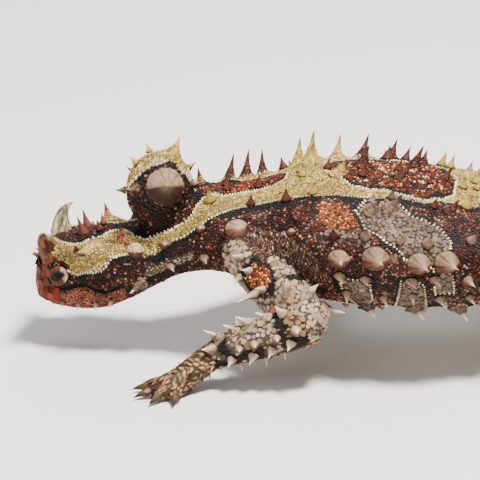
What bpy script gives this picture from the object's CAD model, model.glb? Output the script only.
"""Thorny devil (Moloch horridus), life size: the finished look of a still model.

One skin covers the solids of the flesh, and a coat of small scales, bead rows and ridged
spines stands on it. Tables and sizes are in millimetres of a design frame whose x runs
back from the snout, the same as in the part's source. The left side is towards -Y.
"""

import math
import random

import bpy
import numpy as np
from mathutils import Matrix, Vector
from mathutils.bvhtree import BVHTree

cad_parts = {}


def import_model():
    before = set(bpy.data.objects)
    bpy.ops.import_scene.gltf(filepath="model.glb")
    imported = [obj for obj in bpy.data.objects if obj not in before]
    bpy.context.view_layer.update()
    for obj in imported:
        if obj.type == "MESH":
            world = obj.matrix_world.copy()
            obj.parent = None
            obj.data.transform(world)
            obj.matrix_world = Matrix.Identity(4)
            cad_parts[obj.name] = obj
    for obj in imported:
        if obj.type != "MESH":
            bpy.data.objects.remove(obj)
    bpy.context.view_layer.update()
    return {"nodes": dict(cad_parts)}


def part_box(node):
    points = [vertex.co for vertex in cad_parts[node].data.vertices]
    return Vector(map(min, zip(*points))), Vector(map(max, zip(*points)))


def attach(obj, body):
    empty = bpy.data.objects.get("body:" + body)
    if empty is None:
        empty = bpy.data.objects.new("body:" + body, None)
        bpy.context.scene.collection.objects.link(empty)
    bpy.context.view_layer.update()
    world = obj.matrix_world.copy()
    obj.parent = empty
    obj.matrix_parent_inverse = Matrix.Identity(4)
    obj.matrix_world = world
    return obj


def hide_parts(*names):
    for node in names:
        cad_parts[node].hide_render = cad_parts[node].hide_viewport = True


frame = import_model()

bl_info = {
    "name": "Thorny devil",
    "version": (1, 0, 0),
    "blender": (4, 5, 0),
    "location": "3D View > Sidebar > Thorny devil",
    "description": "Skin, scales, spines, horns, eyes and claws of a life-size thorny devil",
    "category": "Mesh",
}

MM = 0.001
LEFT, RIGHT = -1, 1
FLESH = [name for name in frame["nodes"] if not name.startswith(("eye_", "horn_"))]
SIDE_NAMES = {LEFT: "left", RIGHT: "right"}

# Axis of neck, trunk and tail: distance, x, y, z, half width, height above, depth below
TRUNK = (
    (13, 13.0, 0.95, 12.4, 6.8, 5.3, 5.4),
    (17, 17.0, 0.05, 13.3, 6.6, 5.3, 4.8),
    (21, 21.0, -0.32, 15.3, 7.2, 5.8, 4.4),
    (25, 25.0, -0.30, 17.0, 8.6, 6.6, 5.2),
    (29, 29.0, -0.15, 17.4, 10.4, 6.3, 6.0),
    (33, 33.0, 0.0, 17.6, 12.6, 6.5, 7.2),
    (38, 38.0, 0.0, 18.0, 15.4, 7.6, 9.2),
    (44, 44.0, 0.0, 18.4, 18.2, 7.7, 10.4),
    (52, 52.0, 0.0, 18.5, 20.0, 7.1, 10.8),
    (60, 60.0, 0.0, 18.4, 19.6, 6.0, 10.8),
    (67, 67.0, 0.0, 18.0, 17.4, 5.6, 10.2),
    (74, 74.0, 0.0, 17.7, 13.6, 5.4, 8.8),
    (80, 80.0, 0.0, 17.4, 10.0, 5.2, 7.0),
    (86, 86.0, 0.0, 17.0, 6.9, 4.8, 5.2),
    (93, 93.0, 0.4, 16.7, 5.3, 4.2, 4.2),
    (101, 101.0, 1.5, 16.8, 4.6, 3.8, 3.7),
    (110, 109.8, 3.0, 17.8, 3.9, 3.3, 3.2),
    (120, 119.2, 4.4, 20.4, 3.2, 2.7, 2.7),
    (130, 128.0, 5.1, 24.9, 2.5, 2.2, 2.2),
    (140, 135.8, 5.0, 31.0, 1.9, 1.7, 1.7),
    (150, 142.3, 4.2, 38.4, 1.3, 1.2, 1.2),
    (158, 146.6, 3.2, 45.1, 0.8, 0.75, 0.75),
    (162, 148.4, 2.7, 48.7, 0.45, 0.45, 0.45),
)
TRUNK_POWER = 2.15
TRUNK_START, HEAD_END, TAIL_END = 13.0, 17.0, 162.0
TAIL_START, TILT_LENGTH = 86.0, 10.0
TRUNK_LENGTHS = (
    ("neck", HEAD_END, 27.0),
    ("torso_front", 27.0, 46.0),
    ("torso_middle", 46.0, 63.0),
    ("torso_rear", 63.0, 86.0),
    ("tail_base", 86.0, 108.0),
    ("tail_middle", 108.0, 132.0),
    ("tail_tip", 132.0, 162.0),
)

GOLDEN_ANGLE = 2.39996
# Great spines on each side: degrees above the widest line, length, base radius, distances
GREAT_ROWS = (
    (72, 4.9, 1.45, (30.9, 35.8, 40.3, 45.0, 52.6, 60.0, 66.4, 72.8, 79.0)),
    (66, 4.2, 1.1, (24.2,)),
    (48, 4.8, 1.65, (29.7, 38.7, 51.4, 59.7, 68.4, 76.2)),
    (3, 4.2, 1.8, (43.6, 47.4, 54.4, 58.2, 66.0, 71.6)),
    (-47, 3.7, 1.6, (41.4, 47.3, 54.6, 60.9, 67.6)),
    (62, 3.9, 1.25, (84.0, 90.0, 96.2, 102.4)),
    (12, 3.6, 1.2, (89.0, 95.2, 101.4)),
)
# Lesser spines on each side: degrees, length, base radius, first, last, spacing
LESSER_ROWS = (
    (85, 1.5, 0.6, 28.0, 84.0, 5.0),
    (60, 1.9, 0.8, 20.0, 84.0, 5.2),
    (26, 2.1, 0.85, 19.5, 84.0, 4.6),
    (-14, 1.9, 0.8, 20.5, 84.0, 4.6),
    (-30, 1.6, 0.7, 36.0, 76.0, 4.4),
    (-62, 1.4, 0.65, 34.0, 78.0, 5.4),
    (-80, 1.0, 0.5, 30.0, 82.0, 7.4),
    (62, 4.2, 1.55, 108.0, 160.0, 4.6),
    (12, 3.9, 1.5, 105.8, 160.0, 4.6),
    (-38, 2.0, 0.9, 88.0, 156.0, 6.6),
    (38, 1.7, 0.8, 87.0, 158.0, 6.2),
)
# Spines of neck and back where the photo shows them: side, distance, rise, length, base radius
PLACED_SPINES = (
    (1, 24.5, 63, 2.8, 0.95), (1, 27.2, 60, 4.2, 1.2), (1, 31.2, 57, 4.5, 1.25), (1, 33.5, 50, 4.2, 1.1),
    (1, 38.7, 56, 3.9, 1.3), (1, 40.5, 54, 4.6, 1.6), (1, 40.2, 75, 3.3, 1.8), (1, 45.8, 51, 3.6, 1.2),
    (1, 48.2, 51, 3.7, 1.2), (1, 47.5, 81, 3.2, 1.25), (1, 52.5, 48, 3.2, 1.1), (1, 54.7, 47, 2.2, 0.8),
    (1, 55.5, 72, 3.3, 1.25), (1, 60.0, 51, 2.2, 0.8), (1, 63.2, 78, 2.9, 1.25), (-1, 53.0, 84, 3.1, 1.25),
    (-1, 59.0, 87, 2.9, 1.1), (-1, 44.3, 82, 2.8, 1.5), (-1, 51.0, 50, 2.9, 1.5), (-1, 48.3, 47, 2.5, 1.35),
    (-1, 38.8, 42, 2.2, 1.6), (-1, 59.2, 54, 2.3, 1.2), (-1, 29.2, 27, 1.5, 1.75), (-1, 64.5, 62, 3.2, 1.4),
)
# They take the place of the great rows from this rise up, between these distances
PLACED_RISE, PLACED_FROM, PLACED_TO = 45, 23, 66
PLACED_LEANS = {LEFT: 0.35, RIGHT: 0.15}
# Spines below this rise are shorter and lean further back
UNDER_RISE, UNDER_SHARE, UNDER_LEAN = -30, 0.62, 0.3
LARGE_SPINE = 0.95  # base radius over which a spine draws up the skin and carries scales
# Large spines, low discs, small spines and claws from the tip down: height and width, then brightness
CONE = ((1.0, 0.0), (0.94, 0.045), (0.84, 0.10), (0.70, 0.18), (0.55, 0.27), (0.40, 0.39), (0.26, 0.54), (0.12, 0.75),
        (0.02, 0.98), (-0.10, 1.05), (-0.25, 0.0))
CONE_SHADES = (0.7, 0.8, 0.95, 1.1, 1.1, 1.0, 0.85, 0.6, 0.4, 0.4, 0.4)
DISC = ((1.0, 0.0), (0.86, 0.05), (0.70, 0.13), (0.56, 0.28), (0.45, 0.46), (0.35, 0.64), (0.26, 0.80), (0.15, 0.93),
        (0.04, 0.99), (-0.08, 1.0), (-0.2, 0.0))
DISC_SHADES = (0.7, 0.9, 0.95, 0.7, 1.0, 1.05, 0.80, 1.05, 0.75, 0.15, 0.12)
SMALL = ((1.0, 0.0), (0.84, 0.10), (0.6, 0.26), (0.34, 0.50), (0.1, 0.84), (-0.05, 1.05), (-0.3, 0.0))
SMALL_SHADES = (0.9, 1.0, 1.05, 1.0, 0.7, 0.4, 0.4)
CLAW = ((1.0, 0.0), (0.9, 0.14), (0.7, 0.34), (0.45, 0.6), (0.2, 0.85), (0.0, 1.0), (-0.2, 0.95), (-0.3, 0.0))
CLAW_SHADES = (0.5, 0.6, 0.8, 1.0, 1.1, 1.1, 0.8, 0.6)
FLANK_TILT, FLANK_END = 0.62, 84  # spines of the trunk that rise less and stand further forward are discs
DISC_HEIGHT, KNOB_DISC_HEIGHT = 0.54, 0.45  # height of a disc over the length of its spine
GAP, SPINE_SPREAD, SPINE_LEAN = 0.3, 1.12, 0.12
SPINE_CLEAR, NEAR_TRUNK, CUT_CLEAR, LIMB_SWELL = 0.9, 1.0, 0.35, 0.10

# Head: distance behind the snout, x, y, z of the widest line, half width, above, below
HEAD = (
    (0.12, 0.12, 0.0, 9.0, 1.3, 1.6, 1.5),
    (0.5, 0.5, 0.0, 9.2, 2.6, 3.2, 2.8),
    (1.3, 1.3, 0.0, 9.6, 3.7, 4.9, 3.8),
    (2.6, 2.6, 0.0, 10.0, 4.7, 6.0, 4.7),
    (4.5, 4.5, 0.0, 10.4, 5.6, 6.4, 5.4),
    (7.5, 7.5, 0.0, 10.8, 6.4, 6.4, 5.9),
    (11.0, 11.0, 0.0, 11.3, 6.9, 6.2, 5.9),
    (14.0, 14.0, 0.0, 12.2, 6.9, 5.7, 5.5),
    (17.0, 17.0, 0.0, 13.3, 6.6, 5.3, 4.8),
)
HEAD_POWER = 2.3
EYE_PLACE, EYE_RADIUS = (4.8, 5.35, 11.3), 1.1
NOSTRIL_PLACE = (1.25, 2.75, 12.0)
HORN_PATH = ((3.6, 3.4, 13.9), (2.9, 4.2, 15.1), (2.6, 5.1, 16.1), (2.75, 6.6, 17.3), (3.7, 8.3, 18.1))
HORN_RADII = (2.2, 1.65, 1.25, 0.72, 0.05)
EAR_PLACE = (13.4, 6.3, 14.4)
BROW_DROP = 0.6
# Swellings of one side of the head, centre and half sizes: eyelids, brow, cheek
HEAD_SWELLS = (
    ((4.8, 4.65, 11.35), (2.1, 1.55, 1.6)),
    ((5.0, 4.0, 15.0), (4.0, 1.9, 1.7)),
    ((11.5, 5.6, 14.0), (4.6, 1.9, 2.6)),
)
CROWN_SPINE, HEAD_DISC = 1.25, 1.3  # base radii of the spine behind the brow and of the head's low disc
# Spines of one side of the head: place, direction, length, base radius
HEAD_SPINES = (
    ((10.0, 5.7, 15.2), (-0.35, 0.75, 0.55), 5.0, 1.9),
    ((14.0, 4.4, 16.8), (-0.10, 0.35, 0.92), 2.7, CROWN_SPINE),
    ((16.0, 5.8, 15.6), (0.05, 0.97, 0.15), 1.7, HEAD_DISC),
    ((16.9, 6.3, 11.0), (-0.50, 0.75, -0.35), 2.6, 1.0),
    ((7.5, 1.3, 16.5), (-0.30, 0.20, 0.90), 3.0, 0.9),
    ((9.8, 1.3, 17.3), (-0.20, 0.20, 0.95), 1.7, 0.6),
    ((7.4, 5.2, 15.4), (-0.2, 0.75, 0.65), 1.3, 0.6),
    ((0.7, 0.8, 12.6), (-0.90, 0.10, 0.45), 1.4, 0.5),
    ((0.9, 2.2, 13.0), (-0.80, 0.45, 0.40), 1.4, 0.5),
    ((1.9, 3.3, 14.4), (-0.60, 0.60, 0.60), 1.3, 0.5),
    ((7.6, 6.0, 7.2), (-0.20, 0.80, -0.60), 1.1, 0.45),
    ((10.2, 6.3, 7.4), (-0.20, 0.80, -0.60), 1.1, 0.45),
    ((12.4, 6.4, 7.8), (-0.20, 0.85, -0.50), 1.3, 0.5),
    ((5.0, 4.7, 6.8), (-0.20, 0.75, -0.60), 0.9, 0.4),
)
# Knob on the nape: centre and half sizes, then direction, length and base radius of its spines
KNOB_CENTRE, KNOB_SIZE = (18.5, -0.1, 23.2), (5.1, 5.5, 5.8)
KNOB_SPINES = (
    ((0.18, 0.93, 0.34), 5.2, 2.7),
    ((-0.66, 0.72, 0.20), 2.6, 1.1),
    ((0.38, 0.25, 0.89), 2.6, 1.2),
)
NEAR_TEMPLE = (-0.37, 0.90, 0.20)  # direction of the first head spine on the left side
KNOB_PRICKLES, PRICKLE_LENGTH, PRICKLE_RADIUS = 18, 1.5, 0.6
PRICKLE_APART = 0.86  # cosine of the nearest turn between a prickle and a side spine
# Where no trunk spine may come, from end to end with both radii: the knob, the head
SPINE_FREE = (
    ((KNOB_CENTRE, KNOB_CENTRE), (6.6, 6.6)),
    (((9.0, 1.0, 12.0), (12.0, 0.0, 12.5)), (7.5, 7.8)),
)

# Legs: root, bend and end of each, then the middle of the paw and its heading in degrees
LEG_RADII = {"fore": (4.3, 3.2, 2.6, 2.1), "hind": (4.6, 3.4, 2.7, 2.1)}  # shoulder, bend, below it, wrist
LEGS = (
    ("fore", LEFT, (31.6, -8.5, 16.6), (39.2, -18.4, 9.4), (26.2, -18.4, 4.7), (21.4, -20.9, 1.5), 207),
    ("fore", RIGHT, (31.6, 8.5, 16.6), (43.0, 18.2, 9.8), (40.5, 24.6, 4.7), (36.8, 27.2, 1.5), 155),
    ("hind", LEFT, (79.5, -6.0, 16.8), (74.0, -19.5, 11.6), (83.5, -24.0, 5.0), (81.6, -28.2, 1.6), 222),
    ("hind", RIGHT, (79.5, 6.0, 16.8), (70.0, 18.5, 11.8), (76.0, 24.6, 5.0), (73.0, 28.3, 1.6), 150),
)
# Turn from the top of the leg, and relative size
LEG_ROWS = ((-78, 0.9), (-28, 1.15), (22, 1.0), (70, 0.9))
LEG_SPACING, LEG_SPINE, LEG_SPINE_RADIUS = 2.9, 2.0, 0.8
PART_NAMES = {"fore": ("upper_arm", "forearm", "hand"), "hind": ("thigh", "shank", "foot")}
PAW_SCALE = {"fore": 1.0, "hind": 1.12}
# Larger spines of the legs: length of leg (0 upper, 1 lower), share of the way down it, degrees
# from its top towards the front of the left leg, lean towards the paw, length, base radius
LEG_SPINES = (
    (0, 0.72, 30, 0.0, 3.4, 1.2),
    (0, 0.84, -5, 0.2, 3.0, 1.35),
    (0, 0.50, 95, 0.0, 3.6, 0.8),
    (0, 0.30, 70, -0.2, 1.7, 0.7),
    (0, 0.24, 100, 0.3, 1.8, 0.7),
    (0, 0.97, -60, 0.9, 3.0, 1.1),
    (1, 0.18, -20, 0.3, 1.8, 0.9),
    (1, 0.36, -15, 0.5, 1.9, 1.0),
    (1, 0.53, -12, 0.6, 2.4, 1.15),
    (1, 0.70, -12, 0.6, 2.0, 1.0),
    (1, 0.87, -10, 0.7, 2.5, 1.1),
    (1, 0.97, -50, 0.8, 1.8, 0.9),
    (1, 0.20, -112, 0.4, 1.5, 0.8),
    (1, 0.40, -116, 0.5, 1.4, 0.8),
    (1, 0.60, -118, 0.5, 1.6, 0.8),
    (1, 0.82, -112, 0.5, 1.4, 0.75),
    (1, 0.50, -155, 0.1, 1.2, 0.35),
    (1, 0.75, -150, 0.1, 1.2, 0.35),
    (1, 0.95, -140, 0.2, 1.2, 0.35),
    (1, 0.30, -150, 0.1, 1.1, 0.35),
)
# Fan angle and reach of each toe
TOES = ((-60, 3.7), (-30, 4.4), (-2, 4.7), (27, 4.6), (58, 3.9))
CLAW_LENGTH, CLAW_HEIGHT = 2.7, 0.95

# Forms that the skin is made of, as locate() numbers them
ON_HEAD, ON_TRUNK, ON_KNOB, ON_UPPER, ON_LOWER, ON_PAW = 0, 1, 2, 3, 7, 11

# Markings: kinds of skin, with the size of a scale in mm and its height over its size
KINDS = ("red", "black", "bead", "band", "grey", "dark", "mixed", "belly", "leg", "orange", "rust", "jaw", "hand",
         "wrinkle")
RED, BLACK, BEAD, BAND, GREY, DARK, MIXED, BELLY, LEG, ORANGE, RUST, JAW, HAND, WRINKLE = range(14)
SCALE_SIZES = (0.36, 0.40, 0.44, 0.33, 0.56, 0.42, 0.44, 0.75, 0.70, 0.36, 1.10, 0.36, 0.62, 0.36)
SCALE_HEIGHTS = (0.42, 0.38, 0.65, 0.40, 0.25, 0.42, 0.40, 0.26, 0.22, 0.40, 0.06, 0.34, 0.45, 0.42)
UNEVENNESS = (0.55, 0.30, 0.16, 0.42, 0.30, 0.55, 0.50, 0.30, 0.27, 0.45, 0.22, 0.42, 0.45, 0.42)
# How bright the skin is between the scales, over their own colour
GAP_TONES = (0.20, 0.45, 0.30, 0.36, 0.26, 0.24, 0.18, 0.30, 0.20, 0.22, 0.80, 0.30, 0.18, 0.24)
# Share of the scales of one kind that take the colour of another
STRAYS = (
    (RED, 0.20, BLACK), (RED, 0.36, ORANGE), (DARK, 0.13, MIXED), (DARK, 0.21, RED), (DARK, 0.40, BLACK),
    (MIXED, 0.34, DARK), (MIXED, 0.46, RED), (BAND, 0.09, GREY), (BAND, 0.11, ORANGE), (BAND, 0.30, HAND),
    (BLACK, 0.05, MIXED), (RUST, 0.10, DARK), (JAW, 0.16, DARK), (JAW, 0.24, MIXED), (HAND, 0.16, DARK),
    (LEG, 0.10, HAND), (LEG, 0.15, WRINKLE), (GREY, 0.08, MIXED), (WRINKLE, 0.12, LEG), (WRINKLE, 0.3, DARK),
    (ORANGE, 0.10, BEAD), (ORANGE, 0.30, RED), (ORANGE, 0.42, BLACK),
)
SPIKE_SHARES = {LEG: 0.07, MIXED: 0.06, HAND: 0.10, JAW: 0.04, GREY: 0.02, DARK: 0.02}

# Scattering: roots tried for every scale, nearest scales over their sizes, room left at a spine's foot over
# a scale's size, how far a bead may be moved to the skin, and least height of a scale over the floor
TRIES, CLOSENESS, FOOT_ROOM, BEAD_REACH, SOLE_CLEAR = 5.6, 0.42, 0.22, 1.8, 0.25
BEAD_SPACING, FLANK_BEAD_SPACING = 0.46, 0.62
# Spacing of the rings of scales that climb a spine, over their size, and how high they climb
RING_SPACING, CLIMB_TOPS = 0.80, {"head": 0.62, "leg": 0.40, "trunk": 0.46, "knob": 0.46}

# Outlines as distance along the trunk and degrees above the widest line
DORSAL_PATCHES = (
    ((15, 46), (18, 46), (20.8, 43), (22.2, 44), (23.2, 50), (23.8, 58), (24.5, 64), (26.5, 71), (27.6, 67),
     (30, 73), (32.8, 76), (35, 78), (36.4, 83), (36.8, 90)),
    ((42.3, 90), (42.8, 80), (44.5, 73), (46, 67), (48.2, 64), (50.5, 65), (53, 62), (56, 60), (58.5, 64),
     (60.3, 68), (60.8, 80), (61.2, 90)),
    ((66.5, 90), (66.9, 80), (68.5, 70), (71, 64), (75, 62), (79, 60), (82, 64), (84.5, 76), (85, 90)),
)
BAND_LOWER = (
    (14, 22), (18, 20), (19.8, 26), (21.8, 24), (24.2, 30), (26.5, 40), (29, 49), (32.8, 55), (36, 56), (40, 56),
    (43.5, 57), (47.2, 56), (50, 57), (52, 59), (56, 57), (58.2, 61), (60.2, 60), (63.5, 57), (68, 50), (72, 52),
    (76, 56), (80, 55), (84, 48), (88, 40),
)
FLANK_PATCHES = (
    ((46.1, 44.7), (46.7, 39.7), (47.3, 31.8), (49.1, 27.6), (50.2, 21.7), (51.3, 17.8), (52.2, 11.5),
     (52.4, 6.4), (54.4, -0.6), (57.4, -3.5), (58.6, 10.9), (58.9, 26.8), (57.6, 37.3), (55.8, 42.3),
     (53.6, 45.0), (52.3, 51.5), (51.6, 63.1), (49.8, 58.0), (48.3, 60.0), (47.3, 52.4)),
    ((67, 40), (69, 54), (73, 56), (74, 46), (77, 36), (79, 24), (79.5, 4), (77, -6), (72, -2), (69, 10), (67, 24)),
    ((52.1, -14.5), (55.3, -17.6), (56.0, -45), (54.3, -54), (51.8, -51)),
    ((56.5, -3.6), (59.1, -8.8), (59.6, -26), (57.0, -27)),
    ((43.7, -15.8), (47.8, -16), (48.4, -38), (47.3, -54), (44.6, -36)),
    ((58.7, -40), (61.5, -42), (62.5, -58), (59.5, -56)),
    ((66, -14), (70, -12), (70.5, -40), (67, -50)),
    ((73, -18), (76, -14), (76.5, -38), (73.5, -46)),
)
PALE_ROW = ((41.5, 28), (44.1, 28), (46.2, 25), (47.6, 18.5), (49, 13), (51.7, 8), (51.7, 4), (49.5, 6.5), (48, 10),
            (46.8, 15.5), (45.6, 21), (44, 23), (41.5, 23.5))
RUSTY_PATCH = ((40.5, 50), (43.4, 53), (46.1, 52), (46.7, 37), (44.6, 30), (42.1, 31.5), (40.8, 38))
SHOULDER_PATCH = ((26.8, -8), (28.5, 20), (30.3, 38), (33, 32), (37, 22), (40, 6.4), (41.5, -8), (43, -19), (40, -36),
                  (36, -30), (30, -16))
HEAD_UPPER = ((2.2, 64), (3.6, 54), (6.3, 47), (8.3, 56), (10.6, 66), (11.5, 76), (12.5, 78), (13.6, 74), (15.3, 58),
              (17, 47))
MOUTH_LINE = ((-2.0, 7.7), (0.5, 7.9), (2.4, 8.9), (4.3, 9.3), (5.3, 9.2), (6.8, 9.9), (8.6, 10.3), (10.3, 9.6),
              (12.1, 9.4), (13.6, 10.3), (15.0, 10.5))
HEAD_LOWER = ((3.2, 40), (4.0, 24), (5.8, 13), (7.6, 8), (9.1, 12), (11.3, 16), (12.6, 28), (14.6, 28), (17, 22))
SNOUT_STROKE = ((1.0, 6.8), (1.8, 7.2), (4.0, 2.2), (3.4, 1.6))
MARKING_ROLL = 5.0  # degrees the markings of the back are turned to the right
RING_START, RING_STEP, RING_PALE = 87, 9.5, 0.42  # rings of the tail: first, spacing, pale share
BELLY_RISE = -52  # degrees above the widest line where the belly begins
SKIN_FLOOR, COAT_FLOOR = 0.00002, 0.00003  # lowest points of skin and coat, in metres


# ---------------------------------------------------------------- shapes of the body

_TABLES = {}


def value(table, at):
    """The table's columns at distances, on smooth curves through its rows."""
    if table not in _TABLES:
        rows = np.array(table, float)
        _TABLES[table] = rows[:, 0], rows[:, 1:], np.gradient(rows[:, 1:], rows[:, 0], axis=0)
    stops, columns, slopes = _TABLES[table]
    at = np.atleast_1d(np.asarray(at, float))
    k = np.clip(np.searchsorted(stops, at) - 1, 0, len(stops) - 2)
    span = (stops[k + 1] - stops[k])[:, None]
    u = (at - stops[k])[:, None] / span
    return (
        columns[k] * (2 * u**3 - 3 * u**2 + 1)
        + slopes[k] * span * (u**3 - 2 * u**2 + u)
        + columns[k + 1] * (3 * u**2 - 2 * u**3)
        + slopes[k + 1] * span * (u**3 - u**2)
    )


def unit(vectors):
    """Vectors of length one."""
    vectors = np.asarray(vectors, float)
    return vectors / np.maximum(np.linalg.norm(vectors, axis=-1, keepdims=True), 1e-9)


def swung(across, up, angle):
    """Directions turned by angles from one direction to another."""
    return across * np.cos(angle)[:, None] + up * np.sin(angle)[:, None]


def bump(off, width, power=2):
    """A smooth hump over distances from its middle."""
    return np.exp(-((off / width) ** power))


def squared_to(flows, ways):
    """Directions made square to others."""
    return unit(flows - ways * (flows * ways).sum(1)[:, None])


def on_side(place, side):
    """A place of the head's left half, on either side."""
    return np.array((place[0], side * place[1], place[2]))


def heading_way(degrees):
    """The level direction of a heading."""
    turn = math.radians(degrees)
    return np.array((math.cos(turn), math.sin(turn), 0.0))


def axes(table, at):
    """Axis points, directions along, to the right-hand side and up, at distances."""
    at = np.atleast_1d(np.asarray(at, float))
    here = value(table, at)[:, :3]
    if table is HEAD:
        along = np.tile((1.0, 0.0, 0.0), (len(at), 1))
    else:
        along = unit(value(table, at + 0.05)[:, :3] - value(table, at - 0.05)[:, :3])
        along[:, 2] *= np.clip((at - TAIL_START) / TILT_LENGTH, 0, 1)
        along = unit(along)
    side = unit(np.cross((0.0, 0.0, 1.0), along))
    return here, along, side, np.cross(along, side)


def section(table, power, at, angle, grow=0.0):
    """Points of the cross-section; the angle turns from the right-hand side to the top."""
    here, _, side, up = axes(table, at)
    width, above, below = (value(table, at)[:, 3:6] + grow).T
    c, s = np.cos(angle), np.sin(angle)
    reach = (np.abs(c) ** power + np.abs(s) ** power) ** (-1 / power)
    return here + side * (width * c * reach)[:, None] + up * (np.where(s > 0, above, below) * s * reach)[:, None]


def on_skin(table, power, at, side, rise):
    """A surface point and its outward normal, `rise` degrees above the widest line."""
    angle = np.array([np.radians(rise if side == RIGHT else 180 - rise)])
    at = np.array([at], float)
    step = 0.02
    point = section(table, power, at, angle)[0]
    lengthwise = section(table, power, at + step, angle) - section(table, power, at - step, angle)
    around = section(table, power, at, angle + step) - section(table, power, at, angle - step)
    normal = unit(np.cross(lengthwise, around))[0]
    here = axes(table, at)[0][0]
    return Vector(point), Vector(normal if normal @ (point - here) > 0 else -normal)


_NECK = [a[0] for a in axes(TRUNK, HEAD_END)]
_NECK_Z = float(value(HEAD, HEAD_END)[0, 2])


def head_place(local):
    """Points of the head's own frame, in the design frame."""
    here, along, side, up = _NECK
    local = np.asarray(local, float)
    x, y, z = local[..., 0:1], local[..., 1:2], local[..., 2:3]
    return here + along * (x - HEAD_END) + side * y + up * (z - _NECK_Z)


def head_local(points):
    """Points of the design frame, in the head's own frame."""
    here, along, side, up = _NECK
    off = np.asarray(points, float) - here
    return np.stack([off @ along + HEAD_END, off @ side, off @ up + _NECK_Z], -1)


def head_turn(ways):
    """Directions of the head's own frame, in the design frame."""
    _, along, side, up = _NECK
    ways = np.asarray(ways, float)
    return along * ways[..., 0:1] + side * ways[..., 1:2] + up * ways[..., 2:3]


_LOW, _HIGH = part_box("eye_left")
OFFSET = np.array((_LOW + _HIGH) / 2) / MM - head_place(on_side(EYE_PLACE, LEFT))


def world(points):
    """Design millimetres to metres in the row frame."""
    return (np.asarray(points, float) + OFFSET) * MM


def design(points):
    """Metres in the row frame to design millimetres."""
    return np.asarray(points, float) / MM - OFFSET


def cloud(points, size, seed):
    """Smooth noise from 0 to 1 whose features are about `size` millimetres across."""
    cell = np.asarray(points, float) / size
    base = np.floor(cell).astype(np.int64)
    part = cell - base
    part = part * part * (3 - 2 * part)
    total = np.zeros(len(cell))
    for corner in range(8):
        off = np.array([(corner >> k) & 1 for k in range(3)])
        i = base + off
        h = (i[:, 0] * 73856093) ^ (i[:, 1] * 19349663) ^ (i[:, 2] * 83492791) ^ (seed * 40503)
        h = (h ^ (h >> 13)) * 1274126177
        h = (h ^ (h >> 16)) & 0xFFFF
        total += np.prod(np.where(off, part, 1 - part), axis=1) * h / 65535
    return total


# ---------------------------------------------------------------- where the spines stand


def blocked(root, way, length, radius):
    """Whether a spine would come too near to a leg, the knob or the head."""
    zones = [tuple(Vector(p) for p in ends) + thick for ends, thick in SPINE_FREE]
    for kind, _, start, bend, _, _, _ in LEGS:
        radii = LEG_RADII[kind]
        zones.append((Vector(start), Vector(bend), radii[0], radii[1]))
    for step in (0.0, 0.35, 0.7, 1.0):
        point = root + way * length * step
        for a, b, thick_a, thick_b in zones:
            span = b - a
            u = 0.0 if span.length == 0 else min(max((point - a).dot(span) / span.length_squared, 0), 1)
            near = (point - a - span * u).length - (thick_a + (thick_b - thick_a) * u)
            if near < radius * (1 - step) + SPINE_CLEAR:
                return True
    return False


def trunk_spots(name, start, end):
    """Spines of one length of the trunk: the great rows, then lesser rows between them."""
    draw = random.Random(name)
    found = [(at, side, rise, length, radius) for side, at, rise, length, radius in PLACED_SPINES]
    sure = len(PLACED_SPINES)
    for rise, length, radius, places in GREAT_ROWS:
        for at in places:
            for side in (LEFT, RIGHT):
                size = draw.uniform(0.9, 1.1)
                moved = rise + draw.uniform(-2, 2)
                if rise < PLACED_RISE or not PLACED_FROM < at < PLACED_TO:
                    share = UNDER_SHARE if rise < UNDER_RISE else 1.0
                    found.append((at, side, moved, length * size * share, radius * size))
    for rise, length, radius, first, last, spacing in LESSER_ROWS:
        for k in range(int((last - first) / spacing) + 1):
            for side in (LEFT, RIGHT):
                at = first + spacing * (k + draw.uniform(-0.22, 0.22))
                slim = min(1.0, (float(value(TRUNK, min(max(at, 18), 160))[0, 3]) + 2.0) / 9)
                size = draw.uniform(0.8, 1.2) * slim
                found.append((at, side, rise + draw.uniform(-3, 3), length * size, radius * size))
    taken = []
    for number, (at, side, rise, length, radius) in enumerate(found):
        if not start <= at < end:
            continue
        edge = radius * SPINE_SPREAD + GAP
        at = min(max(at, start + edge), end - edge)
        root, normal = on_skin(TRUNK, TRUNK_POWER, at, side, rise)
        along = Vector(axes(TRUNK, at)[1][0])
        lean = draw.uniform(-0.05, 0.22) + (UNDER_LEAN if rise < UNDER_RISE else 0.0)
        if number < sure:
            lean = PLACED_LEANS[side]
        way = (normal + along * lean).normalized()
        crowded = any((root - other).length < (radius + wide) * 0.8 for other, wide in taken)
        if number >= sure and (crowded or blocked(root, way, length, radius)):
            continue
        taken.append((root, radius))
        yield root, way, length, radius, along * SPINE_LEAN


def near_trunk(point, radius):
    """Whether a point is inside the trunk or close to its skin."""
    if not 17 < point.x < 100:
        return False
    here, _, side, up = (Vector(a[0]) for a in axes(TRUNK, point.x))
    width, above, below = value(TRUNK, point.x)[0, 3:6] + (radius + NEAR_TRUNK)
    off = point - here
    high = off.dot(up)
    reach = abs(off.dot(side) / width) ** 2 + abs(high / (above if high > 0 else below)) ** 2
    return reach < 1.0


def upward(along):
    """The direction nearest to upright that is square to another."""
    return (Vector((0, 0, 1)) - along * along.z).normalized()


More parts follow.
